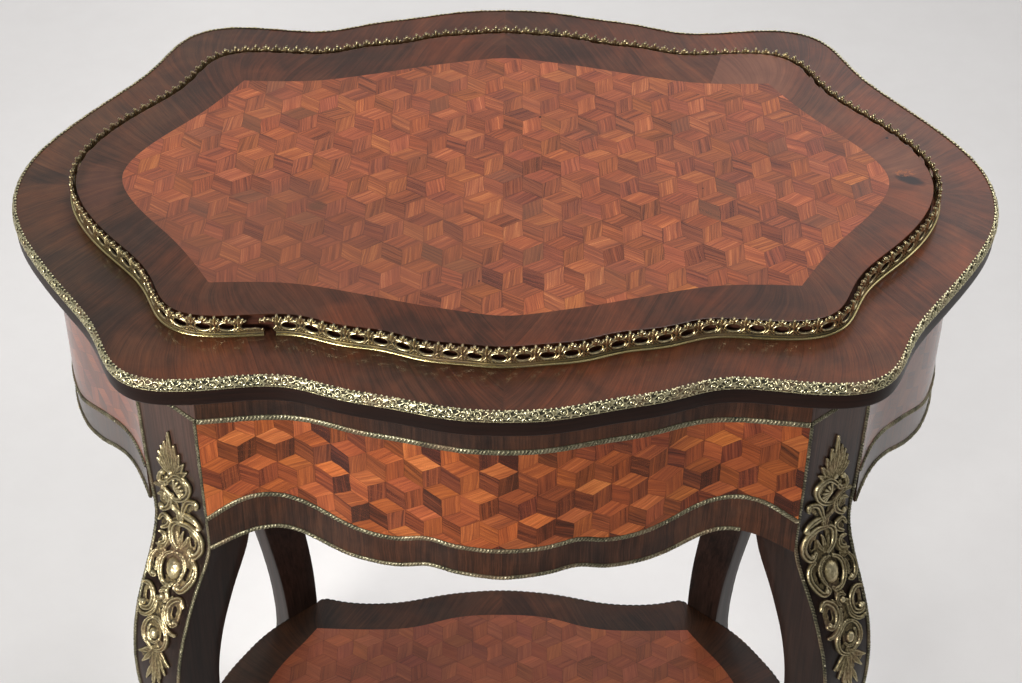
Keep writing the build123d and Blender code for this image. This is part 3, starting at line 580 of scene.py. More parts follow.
def solid_wood(name, dark, light, grain=(0.5, 0.5, 0.02), rough=0.55, coat=0.0, crough=0.3, axis_from="obj", bumps=0.3, painted_sheen_rise=None):
    """Plain wood; grain gives the three frequencies per millimetre."""
    M = Mat(name)
    if axis_from == "gc":
        p, _ = M.attr("gc")
    else:
        p = M.vm("SCALE", M.obj(), 1000.0)
    o, cloud, fine = wear_nodes(M)
    q = M.vm("MULTIPLY", p, grain)
    g1 = M.noise(q, 5.0, 0.62, 0.3)
    g2 = M.noise(M.vm("SCALE", q, 0.28), 3.0, 0.6, 0.5)
    g3 = M.noise(M.vm("SCALE", q, 5.0), 2.0, 0.6)
    tone = M.math("ADD", M.math("MULTIPLY", g1, 0.55), M.math("MULTIPLY", g2, 0.45))
    tone = M.math("ADD", tone, M.math("MULTIPLY", M.math("SUBTRACT", cloud, 0.5), 0.2))
    col = M.ramp(tone, [(0.34, dark), (0.66, light)])
    pores = M.maprange(g3, 0.28, 0.42, 0.6, 1.0)
    col = M.mix(1.0, col, M.comb(pores, pores, pores), "MULTIPLY")
    if painted_sheen_rise:
        # painted sheen: the colour is lifted towards the top of the leg, standing in for the glare on the post there,
        # and is darker lower down
        f = M.maprange(M.sep(o)[2], painted_sheen_rise[0], painted_sheen_rise[1], painted_sheen_rise[2], painted_sheen_rise[3], smooth=True)
        col = M.mix(1.0, col, M.comb(f, f, f), "MULTIPLY")
    M.link(col, M.b.inputs["Base Color"])
    M.link(M.math("ADD", M.math("MULTIPLY", g1, 0.16), rough - 0.08), M.b.inputs["Roughness"])
    if coat:
        varnish(M, coat, crough)
    h = M.math("ADD", M.math("MULTIPLY", g3, 0.5), M.math("MULTIPLY", fine, 0.5))
    nb = M.bump(h, bumps, 0.12)
    M.link(M.bump(cloud, 0.25, 1.0, nb), M.b.inputs["Normal"])
    return M.m


def brass_material(name, bright=(0.88, 0.78, 0.46), body=(0.54, 0.42, 0.20), mid=(0.21, 0.155, 0.078), dark=(0.032, 0.026, 0.016),
                   lo=0.12, hi=0.80, rough=0.34, spots=1.0, tint=0.35):
    """Old cast brass: hh is 0 in the recesses and 1 on the rubbed high points."""
    M = Mat(name)
    _, h = M.attr("hh")
    o = M.obj()
    n1 = M.noise(M.vm("SCALE", o, 60.0), 4.0, 0.6)
    n2 = M.noise(M.vm("SCALE", o, 700.0), 3.0, 0.65)
    n3 = M.noise(M.vm("SCALE", o, 13.0), 2.0, 0.5)
    t = M.math("ADD", h, M.math("MULTIPLY", M.math("SUBTRACT", n1, 0.5), 0.50 * spots))
    t = M.math("ADD", t, M.math("MULTIPLY", M.math("SUBTRACT", n2, 0.5), 0.45 * spots))
    t = M.math("ADD", t, M.math("MULTIPLY", M.math("SUBTRACT", n3, 0.5), 0.30 * spots))
    t = M.maprange(t, lo, hi)
    col = M.ramp(t, [(0.0, dark), (0.22, mid), (0.55, body), (0.95, bright)])
    green = M.maprange(M.noise(M.vm("SCALE", o, 90.0), 3.0, 0.6), 0.54, 0.68, 0.0, tint)
    col = M.mix(M.math("MULTIPLY", green, M.math("SUBTRACT", 1.0, t)), col, (0.12, 0.13, 0.075))
    rosy = M.maprange(M.noise(M.vm("SCALE", o, 38.0), 2.0, 0.5), 0.50, 0.66, 0.0, 0.30)
    col = M.mix(rosy, col, (0.42, 0.26, 0.16))
    M.link(col, M.b.inputs["Base Color"])
    M.link(M.maprange(t, 0.0, 0.9, rough + 0.28, rough - 0.06), M.b.inputs["Roughness"])
    M.link(M.maprange(t, 0.0, 0.3, 0.35, 1.0), M.b.inputs["Metallic"])
    M.link(M.bump(n2, 0.40, 0.15), M.b.inputs["Normal"])
    return M.m


def mirror_material():
    M = Mat("old_mirror_glass")
    o = M.obj()
    n1 = M.noise(M.vm("SCALE", o, 14.0), 5.0, 0.65)
    n2 = M.noise(M.vm("SCALE", o, 160.0), 3.0, 0.6)
    f = M.maprange(M.math("ADD", n1, M.math("MULTIPLY", n2, 0.22)), 0.76, 0.86)
    M.link(M.mix(f, (0.72, 0.75, 0.74), (0.10, 0.09, 0.08)), M.b.inputs["Base Color"])
    M.link(M.maprange(f, 0.0, 1.0, 0.03, 0.45), M.b.inputs["Roughness"])
    M.b.inputs["Metallic"].default_value = 1.0
    M.b.inputs["Coat Weight"].default_value = 0.6
    M.b.inputs["Coat Roughness"].default_value = 0.02
    M.link(M.bump(n1, 0.05, 0.6), M.b.inputs["Normal"])
    return M.m


# the top and lid rings are lightened towards their right end: partly painted sheen, partly bleaching
mat_ring = cross_material("rosewood_crossband_top", leaf=58.0, crough=0.15, rel=0.8, gain=1.30, coat=0.55, streak=0.66, hue=(1.08, 1.0, 0.79), right=1.26)
mat_lidring = cross_material("rosewood_crossband_lid", leaf=46.0, coat=0.50, crough=0.13, marks_and_sheen=True, level=0.0, gain=1.12, streak=0.68, hue=(1.06, 0.98, 0.78), right=1.24)
mat_strip = cross_material("rosewood_crossband_frieze", leaf=70.0, coat=0.20, crough=0.12, gain=0.68, hue=(1.18, 1.60, 1.86))
mat_sidestrip = cross_material("rosewood_crossband_side", leaf=70.0, coat=0.7, crough=0.14, gain=0.9)
mat_shelfring = cross_material("rosewood_crossband_shelf", leaf=58.0, coat=0.35, crough=0.15, gain=0.60, streak=0.8, hue=(0.86, 1.03, 0.92))
mat_edge = solid_wood("rosewood_edge", (0.009, 0.0050, 0.0040), (0.027, 0.0108, 0.0072), (0.02, 0.7, 0.7), 0.45, 0.05, 0.14, "gc")
mat_lidedge = solid_wood("rosewood_lid_edge", (0.040, 0.019, 0.014), (0.125, 0.045, 0.028), (0.02, 0.7, 0.7), 0.42, 0.45, 0.14, "gc")
# the leg colour carries a painted sheen near the top of the post
mat_leg = solid_wood("rosewood_leg", (0.0120, 0.0073, 0.0057), (0.047, 0.0242, 0.0178), (0.55, 0.55, 0.012), 0.38, 0.14, 0.12, "gc", painted_sheen_rise=(0.60, 0.69, 0.80, 2.8))

M_, c_, d_ = parquet_material("parquetry_lid", spread=0.13, grain=2.3, tones=(0.44, 0.49, 0.51), crough=0.15, coat=0.45, fine_f=0.68, odd=0.035)
tone_dirt = M_.noise(M_.comb(M_.math("MULTIPLY", d_["x"], 0.012), M_.math("MULTIPLY", d_["y"], 0.012), 5.0), 3.0, 0.6)
c_ = M_.mix(M_.maprange(tone_dirt, 0.52, 0.70, 0.0, 0.35), c_, (0.20, 0.075, 0.042))
gs = spot(M_, d_["x"], d_["y"], -149.5, -47.0, 7.0, 6.0, 0.9)
c_ = M_.mix(M_.math("MULTIPLY", gs, 0.45), c_, (0.055, 0.050, 0.025))
for hx, hy, hr in ((29.5, 80.9, 1.1), (96.6, -164.8, 1.2), (-19.2, -142.1, 0.8), (160.0, -20.0, 0.7), (-70.0, 20.0, 0.6)):
    c_ = M_.mix(spot(M_, d_["x"], d_["y"], hx, hy, hr, hr, 0.3), c_, (0.006, 0.004, 0.004))
dl_ = spot(M_, d_["x"], d_["y"], -215.0, -120.0, 190.0, 95.0, 0.85)
c_ = M_.mix(M_.math("MULTIPLY", dl_, 0.42), c_, (0.155, 0.062, 0.038))
mat_par_lid = finish_parquet(M_, c_, d_)
# the front frieze carries a painted left-to-right fall of light
mat_par_front = finish_parquet(*parquet_material("parquetry_frieze", w=14.75, ay=17.7, org=(-3.2, -90.4), spread=0.21, grain=1.8, fade=True,
                                                 tones=(0.38, 0.42, 0.62), rare_dark=0.24, gain=1.16, coat=0.24, crough=0.10))
mat_par_side = finish_parquet(*parquet_material("parquetry_side", w=14.75, ay=17.7, org=(3.0, -91.0), spread=0.12, grain=1.2,
                                                tones=(0.36, 0.38, 0.44), gain=0.8, coat=0.75, crough=0.15))
mat_par_shelf = finish_parquet(*parquet_material("parquetry_shelf", w=15.65, ay=19.0, org=(0.0, 4.0), spread=0.09, grain=0.95,
                                                 tones=(0.38, 0.41, 0.43), gain=0.78, coat=0.40, crough=0.15))
mat_gal = brass_material("cast_brass_gallery")
mat_band = brass_material("cast_brass_band", bright=(0.90, 0.84, 0.55), body=(0.56, 0.49, 0.26), mid=(0.20, 0.17, 0.085), dark=(0.026, 0.025, 0.015), lo=0.16, hi=0.80, rough=0.36)
mat_fil = brass_material("brass_fillet", bright=(0.60, 0.56, 0.40), body=(0.33, 0.30, 0.19), mid=(0.15, 0.135, 0.085), dark=(0.030, 0.029, 0.021), lo=0.05, hi=1.0, rough=0.42)
mat_mount = brass_material("gilt_mount", bright=(0.80, 0.70, 0.44), body=(0.43, 0.35, 0.185), mid=(0.155, 0.118, 0.062), dark=(0.020, 0.016, 0.010), lo=0.16, hi=0.98, rough=0.42, tint=0.22)
mat_polish = brass_material("polished_brass", bright=(0.86, 0.74, 0.38), body=(0.47, 0.38, 0.155), mid=(0.20, 0.15, 0.065), lo=-0.05, hi=0.95, rough=0.30)
mat_lining = solid_wood("oak_lining", (0.13, 0.075, 0.038), (0.27, 0.17, 0.09), (0.03, 0.5, 0.5), 0.6)
mat_carcase = solid_wood("carcase_wood", (0.10, 0.058, 0.03), (0.22, 0.135, 0.07), (0.02, 0.45, 0.45), 0.62)
mat_frame = solid_wood("dark_stained_frame", (0.03, 0.014, 0.009), (0.09, 0.035, 0.02), (0.03, 0.5, 0.5), 0.4, 0.5, 0.2)
mat_beech = solid_wood("beech", (0.34, 0.20, 0.11), (0.52, 0.35, 0.20), (0.5, 0.5, 0.03), 0.55)
mat_mirror = mirror_material()


# ---------------------------------------------------------------------------
# cross-banded rings
# ---------------------------------------------------------------------------
def quarter_lean(x, y, span):
    """Lean of the grain: feather joints at front and back centre, straight at the sides."""
    k = np.clip(1.25 - np.abs(x) / span, 0.0, 1.0)
    return 0.72 * np.minimum(1.0, k * 1.4)


def match_loop(outer, inner, width):
    """For every outer point a point of the inner loop, running round evenly."""
    n, m = len(outer), len(inner)
    d = ((outer[:, None, :] - inner[None, ::1, :]) ** 2).sum(-1)
    idx = np.argmin(d, 1).astype(float)
    ref = idx[0]
    idx = idx - ref
    idx = np.where(idx < -m * 0.5, idx + m, idx)
    lin = np.arange(n) * m / n
    idx = lin + ((idx - lin + m / 2) % m - m / 2)
    dev = smooth_loop((idx - lin)[:, None], width)[:, 0]
    idx = lin + dev
    idx = np.maximum.accumulate(idx)
    v = (idx + ref) % m
    k = np.floor(v).astype(int) % m
    f = (v - np.floor(v))[:, None]
    return inner[k] * (1 - f) + inner[(k + 1) % m] * f


def band_ring(name, outer, inner, z_top, thick, body, mat, span, slot, replaces, rows=14, number=1.0, arris=0.35, wave=0.0):
    """Closed flat ring of cross-banded veneer with an eased outer arris."""
    n = len(outer)
    mid = (outer + inner) / 2
    s = arclen(mid, True)[:-1]
    L = arclen(mid, True)[-1]
    wid = np.linalg.norm(outer - inner, axis=1)
    o2 = unit(outer - inner)
    ts = np.r_[0.0, 0.006, np.linspace(0.03, 0.97, rows - 2), 0.994, 1.0]
    sect, G = [], []
    side = np.sign(mid[:, 0]) * np.sign(mid[:, 1])       # + in quarters 1 and 3
    lean = quarter_lean(mid[:, 0], mid[:, 1], span) * np.where(side == 0, 1, side)
    quart = (mid[:, 0] > 0) * 1.0 + (mid[:, 1] > 0) * 2.0

    def g(t, extra=0.0):
        v = t * wid + extra
        return np.stack([s + lean * v, v, np.full(n, number) + quart * 5], 1)

    def p(t, z):
        q = outer * (1 - t) + inner * t
        return lift(q, z)
    # section: bottom outer, side, arris, top rows, inner side, bottom
    sect.append(lift(outer, z_top - thick)); G.append(g(0.0, -thick))
    sect.append(lift(outer, z_top - arris)); G.append(g(0.0, -arris))
    sect.append(lift(outer - o2 * arris * 0.3, z_top - arris * 0.3)); G.append(g(0.0, 0.0))
    for t in ts:
        tt = t + (arris / wid) * (1 - t)
        q = outer * (1 - tt)[:, None] + inner * tt[:, None]
        z = z_top + (wave * np.sin(s / 37.0) * np.sin(t * 3.0) if wave else 0.0)
        sect.append(np.concatenate([q, np.broadcast_to(np.asarray(z, float), (n,))[:, None]], 1)); G.append(g(tt))
    sect.append(lift(inner, z_top - thick)); G.append(g(1.0, thick))
    P = np.stack(sect, 1)
    GG = np.stack(G, 1)
    pile = Pile()
    pile.loft(P, cu=True, cv=True, gc=GG, flip=False)
    return pile.make(name, body, mat, slot=slot, replaces=replaces)


def field_plate(name, outline, z_top, thick, body, mat, slot, replaces, number=1.0, rings=10, origin=(0.0, 0.0)):
    """Flat inlaid field: rings shrinking to a small centre, with sides and a bottom."""
    n = len(outline)
    c = outline.mean(0)
    sect = [lift(outline, z_top - thick), lift(outline, z_top)]
    for t in np.linspace(0, 0.985, rings)[1:]:
        sect.append(lift(outline * (1 - t) + c * t, z_top))
    P = np.stack(sect, 1)
    G = np.concatenate([P[..., :2] - np.array(origin), np.full(P.shape[:2] + (1,), number)], -1)
    f = grid_faces(n, P.shape[1], True, False)
    m = P.shape[1]
    top = (np.arange(n) * m + m - 1)[None, :]
    bottom = (np.arange(n) * m)[None, ::-1]
    pile = Pile()
    pile.add(P, [f, top, bottom], G)
    return pile.make(name, body, mat, slot=slot, replaces=replaces)


def four_fold(back, side, step=1.2):
    """Closed counter-clockwise outline from one quarter's back and side runs."""
    b, s = np.asarray(back, float), np.asarray(side, float)
    top = np.vstack([np.stack([-b[:0:-1, 0], b[:0:-1, 1]], 1), b])
    rgt = np.vstack([s, np.stack([s[-2::-1, 0], -s[-2::-1, 1]], 1)])
    bot = np.vstack([np.stack([b[::-1, 0], -b[::-1, 1]], 1), np.stack([-b[1:, 0], -b[1:, 1]], 1)])
    lft = np.vstack([-s, np.stack([-s[-2::-1, 0], s[-2::-1, 1]], 1)])
    runs = [pspline(r, step) for r in (top, rgt, bot, lft)]
    out = []
    for i, r in enumerate(runs):
        nxt = runs[(i + 1) % 4][0]
        out.append(r)
        gap = np.linalg.norm(nxt - r[-1])
        if gap > step * 1.5:
            k = int(gap / step)
            out.append(r[-1] + (nxt - r[-1]) * (np.arange(1, k) / k)[:, None])
        elif gap < 1e-6:
            out[-1] = r[:-1]
    loop = np.vstack(out)[::-1]          # clockwise as built, so turn it round
    return loop, runs


def ease(x, a, b):
    t = np.clip((x - a) / (b - a), 0.0, 1.0)
    return t * t * (3 - 2 * t)


def hand_out(p):
    """The hand-sawn outline: both side lobes sit a little nearer the front than a true half-turn would put them."""
    q = np.array(p, float)
    q[:, 1] -= 5.0 * ease(-p[:, 0], 230.0, 345.0) + 6.0 * ease(p[:, 0], 230.0, 345.0)
    q[:, 0] += 1.8 * ease(p[:, 0], 330.0, 398.0)
    return q


def hand_gal(p):
    """The gallery and lid follow the right-hand lobe."""
    q = np.array(p, float)
    q[:, 1] -= 4.2 * ease(p[:, 0], 225.0, 325.0)
    q[:, 0] += 1.4 * ease(p[:, 0], 290.0, 340.0)
    return q


# fixed top
NR = 1440
slab_out = hand_out(plan(OUTER, BAND_T + 0.06, n=NR))
opening = plan(GALLERY, OPEN_OFF, 0, WELL_DY, n=NR)
band_ring("top_crossbanding_veneer", slab_out, opening, TOP_Z, VENEER, "table", mat_ring, 400.0, "crossbanding",
          ("top_crossbanding",), rows=18, number=1.0)

# lid border and field
lid_edge = hand_gal(plan(GALLERY, LID_GAP, LID_DX, WELL_DY, n=NR))
lid_edge = lid_edge + normals2(lid_edge) * (2.8 * ease(lid_edge[:, 0], 40.0, 230.0))[:, None]
lid_field, _ = four_fold(LID_FIELD, LID_FIELD_SIDE)
lid_field = lid_field + np.array([FIELD_DX, FIELD_DY])
lid_inner = match_loop(lid_edge, lid_field, 61)
lid_band = band_ring("lid_crossbanding_veneer", lid_edge, lid_inner, LID_Z1, VENEER, "lid", mat_lidring, 330.0, "crossbanding",
                     ("lid_crossbanding",), rows=14, number=2.0)
field_plate("lid_parquetry_field", lid_field, LID_Z1 + 0.02, VENEER, "lid", mat_par_lid, "parquetry", ("lid_parquetry",), 3.0,
            origin=(0.0, 0.0))


# ---------------------------------------------------------------------------
# mouldings swept round a plan curve
# ---------------------------------------------------------------------------
def sweep_plan(pile, path, prof, i0=None, i1=None, closed=True, hh=None, number=0.0):
    """prof: (m, 2) of (outward offset, z), given clockwise seen along the path."""
    if closed:
        p, nn = path, normals2(path)
    else:
        p, nn = path, normals2(path, False)
    prof = np.asarray(prof, float)
    P = np.zeros((len(p), len(prof), 3))
    P[..., :2] = p[:, None, :] + nn[:, None, :] * prof[None, :, 0:1]
    P[..., 2] = prof[None, :, 1]
    s = arclen(p, closed)[:len(p)]
    ps = np.r_[0, np.cumsum(np.linalg.norm(np.diff(prof, axis=0), axis=1))]
    G = np.zeros_like(P)
    G[..., 0] = s[:, None]
    G[..., 1] = ps[None, :]
    G[..., 2] = prof[None, :, 0] + number
    H = np.broadcast_to(np.asarray(hh if hh is not None else np.zeros(len(prof)))[None, :], P.shape[:2])
    pile.loft(P, cu=closed, cv=True, gc=G, hh=H)


def roundish(x0, z0, r, a0, a1, n=5):
    a = np.radians(np.linspace(a0, a1, n))
    return [(x0 + r * math.cos(t), z0 + r * math.sin(t)) for t in a]


def cut_open(path, a0, a1):
    """Open run of a closed dense path between two polar angles, degrees, counter-clockwise."""
    n = len(path)
    ang = np.degrees(np.arctan2(path[:, 1], path[:, 0])) % 360
    k0 = int(np.argmin(np.abs((ang - a0 + 180) % 360 - 180)))
    k1 = int(np.argmin(np.abs((ang - a1 + 180) % 360 - 180)))
    if k1 <= k0:
        k1 += n
    return path[np.arange(k0, k1 + 1) % n]


# four boards of the fixed top: eased edge below the cast band
zb = TOP_Z - TOP_T
edge_line = hand_out(plan(OUTER, 0.0, n=NR))
# profile, outward offset from the outline and height; runs bottom inside -> out -> top -> inside
prof = [(-150, zb), (-6.0, zb)] + roundish(-3.4, zb + 2.4, 2.4, 250, 360, 6) + [(-1.02, zb + 9.0), (-1.0, TOP_Z - BAND_H - 1.2)] \
    + [(-1.9, TOP_Z - BAND_H - 0.35), (-1.9, TOP_Z - VENEER)]
ang_cuts = [-MITRE, MITRE, 180 - MITRE, 180 + MITRE, 360 - MITRE]
for nm, a0, a1 in zip(("right", "back", "left", "front"), ang_cuts[:-1], ang_cuts[1:]):
    i0, i1 = int(round(a0 / 360 * NR)), int(round(a1 / 360 * NR))
    idx = np.arange(i0, i1 + 1) % NR
    line, inn = edge_line[idx], opening[idx]
    nn = normals2(edge_line)[idx]
    sect = []
    for o_, z_ in prof[1:]:
        sect.append(lift(line + nn * o_, z_))
    sect.append(lift(inn, TOP_Z - VENEER))
    sect.append(lift(inn, zb))
    P = np.stack(sect, 1)
    s = arclen(line, False)
    wid = np.concatenate([[0.0], np.cumsum(np.linalg.norm(np.diff(P[0], axis=0), axis=1))])
    G = np.zeros_like(P)
    G[..., 0] = s[:, None]
    G[..., 1] = P[..., 2]
    G[..., 2] = np.minimum(wid, 60)[None, :]
    pile = Pile()
    pile.loft(P, cu=False, cv=True, gc=G)
    pile.make("top_board_" + nm + "_edge", "table", mat_edge, slot="carcase_wood", replaces=("top_board_" + nm,))

# lid board: veneered edge with an eased upper arris
z0l, z1l = TOP_Z + 0.3, LID_Z1 - VENEER
nn = normals2(lid_edge)
P = np.stack([lift(lid_edge - nn * 0.9, z0l), lift(lid_edge - nn * 0.2, z0l + 0.5), lift(lid_edge, z0l + 1.2),
              lift(lid_edge, z0l + 5.0), lift(lid_edge, z1l)], 1)
s = arclen(lid_edge, True)[:-1]
G = np.stack([np.broadcast_to(s[:, None], P.shape[:2]), P[..., 2], np.full(P.shape[:2], 4.0)], -1)
m = P.shape[1]
pile = Pile()
pile.add(P, [grid_faces(len(lid_edge), m, True, False), (np.arange(len(lid_edge)) * m + m - 1)[None, :],
             (np.arange(len(lid_edge)) * m)[None, ::-1]], G)
pile.make("lid_board_core", "lid", mat_lidedge, slot="carcase_wood", replaces=("lid_board",))


# ---------------------------------------------------------------------------
# relief castings: strokes -> distance and height on a grid -> closed plate
# ---------------------------------------------------------------------------
def hollow_tone(h, step, hm, wrap=False, radius=1.1, gain=1.35, level=0.46):
    """Rubbed highs and dark hollows: height against its own blurred surroundings."""
    k = max(1, int(round(radius / step)))
    pad = k * 3
    b = np.pad(h, ((pad, pad), (pad, pad)), mode="edge")
    if wrap:
        b[:pad], b[-pad:] = np.pad(h[-pad:], ((0, 0), (pad, pad)), mode="edge"), np.pad(h[:pad], ((0, 0), (pad, pad)), mode="edge")
    for _ in range(2):
        for ax in (0, 1):
            c = np.cumsum(np.insert(b, 0, 0.0, axis=ax), axis=ax)
            w = 2 * k + 1
            n = b.shape[ax]
            m = (np.take(c, np.arange(w, n + 1), ax) - np.take(c, np.arange(0, n - w + 1), ax)) / w
            pw = [(0, 0), (0, 0)]
            pw[ax] = (k, k)
            b = np.pad(m, pw, mode="edge")
    b = b[pad:-pad, pad:-pad]
    return np.clip(level + gain * (h - b) / hm + 0.30 * (h / hm - 0.4), 0, 1)


class Relief:
    def __init__(self, x0, x1, y0, y1, step, period=None):
        self.step = step
        nx = int(round((x1 - x0) / step))
        ny = int(round((y1 - y0) / step))
        self.xs = np.linspace(x0, x1, nx + 1)
        self.ys = np.linspace(y0, y1, ny + 1)
        self.X, self.Y = np.meshgrid(self.xs, self.ys, indexing="ij")
        self.d = np.full(self.X.shape, 1e3)
        self.h = np.zeros(self.X.shape)
        self.period = period

    def _seg(self, pts, rads):
        """Distance to a polyline with changing radius: signed distance and the share across."""
        d = np.full(self.X.shape, 1e3)
        tt = np.full(self.X.shape, 9.0)
        lo = np.array(pts).min(0) - max(rads) - 3
        hi = np.array(pts).max(0) + max(rads) + 3
        ix = np.where((self.xs > lo[0]) & (self.xs < hi[0]))[0]
        iy = np.where((self.ys > lo[1]) & (self.ys < hi[1]))[0]
        if not len(ix) or not len(iy):
            return d, tt
        sx = slice(ix[0], ix[-1] + 1)
        sy = slice(iy[0], iy[-1] + 1)
        X, Y = self.X[sx, sy], self.Y[sx, sy]
        D = np.full(X.shape, 1e3)
        T = np.full(X.shape, 9.0)
        if len(pts) == 1:
            r = np.hypot(X - pts[0][0], Y - pts[0][1])
            D, T = r - rads[0], r / rads[0]
        for (ax, ay), (bx, by), ra, rb in zip(pts[:-1], pts[1:], rads[:-1], rads[1:]):
            dx, dy = bx - ax, by - ay
            L = dx * dx + dy * dy + 1e-9
            t = np.clip(((X - ax) * dx + (Y - ay) * dy) / L, 0, 1)
            r = np.hypot(X - ax - t * dx, Y - ay - t * dy)
            R = ra + (rb - ra) * t
            e = r - R
            use = e < D
            D = np.where(use, e, D)
            T = np.where(use, r / R, T)
        d[sx, sy] = D
        tt[sx, sy] = T
        return d, tt

    def stroke(self, pts, rads, H, style="round", base=0.0):
        """Adds a stroke. Styles: round, scroll (channelled), leaf (midrib), plate (low and flat), boss."""
        pts = [tuple(p) for p in pts]
        if len(pts) > 1:
            q = np.asarray(pts, float)
            if len(pts) > 2:
                fine = pspline(q, max(self.step, 0.6))
            else:
                k = max(2, int(np.linalg.norm(q[1] - q[0]) / 0.8))
                fine = q[0] + (q[1] - q[0]) * np.linspace(0, 1, k)[:, None]
            rr = np.interp(np.linspace(0, 1, len(fine)), np.linspace(0, 1, len(rads)), rads)
            pts, rads = [tuple(p) for p in fine], list(rr)
        shifts = (0,) if not self.period else (-self.period, 0, self.period)
        for sh in shifts:
            P = [(x + sh, y) for x, y in pts]
            d, t = self._seg(P, rads)
            t = np.clip(t, 0, 1)
            if style == "round":
                h = H * np.sqrt(np.clip(1 - t ** 2, 0, 1))
            elif style == "scroll":
                h = H * (0.50 + 0.50 * np.exp(-((t - 0.62) / 0.22) ** 2)) * np.clip((1 - t) * 5, 0, 1) ** 0.5
            elif style == "leaf":
                h = H * (0.45 + 0.55 * np.abs(t - 0.25) ** 0.8) * np.clip((1 - t) * 3.2, 0, 1) ** 0.6
            elif style == "plate":
                h = H * np.clip((1 - t) * 6, 0, 1) ** 0.5
            else:
                h = H * np.clip(1 - t ** 2, 0, 1) ** 0.6
            inside = d < 0
            self.h = np.where(inside, np.maximum(self.h, h + base), self.h)
            self.d = np.minimum(self.d, d)

    def hole(self, pts, rads):
        """Cuts a shape out of everything drawn so far."""
        q = np.asarray(pts, float)
        if len(q) > 1:
            k = max(2, int(np.linalg.norm(q[-1] - q[0]) / 0.6))
            fine = q[0] + (q[-1] - q[0]) * np.linspace(0, 1, k)[:, None]
            rr = np.interp(np.linspace(0, 1, k), [0, 1], [rads[0], rads[-1]])
        else:
            fine, rr = q, np.array(rads)
        d, _ = self._seg([tuple(p) for p in fine], list(rr))
        self.d = np.maximum(self.d, -d)
        self.h = np.where(d < 0, 0.0, self.h)

    def rough(self, amount, seed, cells=2):
        """Uneven hand-chased surface."""
        rng = np.random.default_rng(seed)
        n = rng.standard_normal(self.h.shape)
        for _ in range(cells):
            n = (n + np.roll(n, 1, 0) + np.roll(n, -1, 0) + np.roll(n, 1, 1) + np.roll(n, -1, 1)) / 5
        n = n / n.std()
        self.h = np.maximum(self.h + amount * n * (self.h > 0), 0.0)

    def tile(self, n):
        """Repeats one period n times along x."""
        r = Relief.__new__(Relief)
        per = self.xs[-1] - self.xs[0]
        r.step, r.period, r.ys = self.step, None, self.ys
        r.xs = np.concatenate([self.xs[:-1] + per * k for k in range(n)] + [[self.xs[0] + per * n]])
        wrap = lambda a: np.concatenate([np.tile(a[:-1], (n, 1)), a[:1]], 0)
        r.X, r.Y = np.meshgrid(r.xs, r.ys, indexing="ij")
        r.d, r.h = wrap(self.d), wrap(self.h)
        return r

    def plate(self, edge=0.35, back=0.0, back_relief=0.0, hmax=None):
        """(verts (x, y, height), faces, hh). Front at edge + h; back at -(back + back_relief * h)."""
        inside = self.d < 0
        cell = inside[:-1, :-1] | inside[1:, :-1] | inside[:-1, 1:] | inside[1:, 1:]
        gx, gy = np.gradient(self.d, self.xs, self.ys)
        gl = np.maximum(np.hypot(gx, gy), 0.3)
        mv = np.where(inside, 0.0, np.clip(self.d, 0, self.step * 0.95))
        x = self.X - mv * gx / gl
        y = self.Y - mv * gy / gl
        x = np.clip(x, self.xs[0], self.xs[-1])
        y = np.clip(y, self.ys[0], self.ys[-1])
        used = np.zeros(self.X.shape, bool)
        for a in (slice(None, -1), slice(1, None)):
            for b in (slice(None, -1), slice(1, None)):
                used[a, b] |= cell
        idx = np.full(self.X.shape, -1)
        idx[used] = np.arange(used.sum())
        n = int(used.sum())
        h = self.h[used]
        front = np.stack([x[used], y[used], edge + h], 1)
        bk = np.stack([x[used], y[used], -(back + back_relief * h)], 1)
        I, J = np.where(cell)
        f = np.stack([idx[I, J], idx[I + 1, J], idx[I + 1, J + 1], idx[I, J + 1]], 1)
        faces = [f, f[:, ::-1] + n]
        pad = np.zeros((cell.shape[0] + 2, cell.shape[1] + 2), bool)
        pad[1:-1, 1:-1] = cell
        walls = []
        for di, dj, (p0, p1) in ((-1, 0, ((0, 1), (0, 0))), (1, 0, ((1, 0), (1, 1))),
                                 (0, -1, ((0, 0), (1, 0))), (0, 1, ((1, 1), (0, 1)))):
            nb = pad[1 + di:pad.shape[0] - 1 + di, 1 + dj:pad.shape[1] - 1 + dj]
            I, J = np.where(cell & ~nb)
            a = idx[I + p0[0], J + p0[1]]
            b = idx[I + p1[0], J + p1[1]]
            walls.append(np.stack([b, a, a + n, b + n], 1))
        faces.append(np.vstack(walls))
        hm = hmax or max(1e-6, self.h.max())
        hv = hollow_tone(self.h, self.step, hm)[used]
        return np.vstack([front, bk]), faces, np.concatenate([hv, hv * 0.8])


# ---- gallery -----------------------------------------------------------------
gal_path = hand_gal(plan(GALLERY, 0.0, 0, WELL_DY, n=2880))
gal_s = arclen(gal_path, True)
GL = gal_s[-1]
gal_n = smooth_loop(normals2(gal_path), 9)
gal_n = unit(gal_n)


def on_gallery(s, off, z):
    s = np.asarray(s) % GL
    q = np.vstack([gal_path, gal_path[:1]])
    nn = np.vstack([gal_n, gal_n[:1]])
    x = np.interp(s, gal_s, q[:, 0]); y = np.interp(s, gal_s, q[:, 1])
    a = np.interp(s, gal_s, nn[:, 0]); b = np.interp(s, gal_s, nn[:, 1])
    return np.stack([x + a * off, y + b * off, np.broadcast_to(z, x.shape)], -1)


BREAK_S = gal_s[int(np.argmin(np.hypot(gal_path[:, 0] + 170.5, gal_path[:, 1] + 199.5)))] - 4.6
PIER0 = BREAK_S + 5.8
N_OPEN = 102
PITCH = (GL - 28.4) / N_OPEN


GY = 16.6


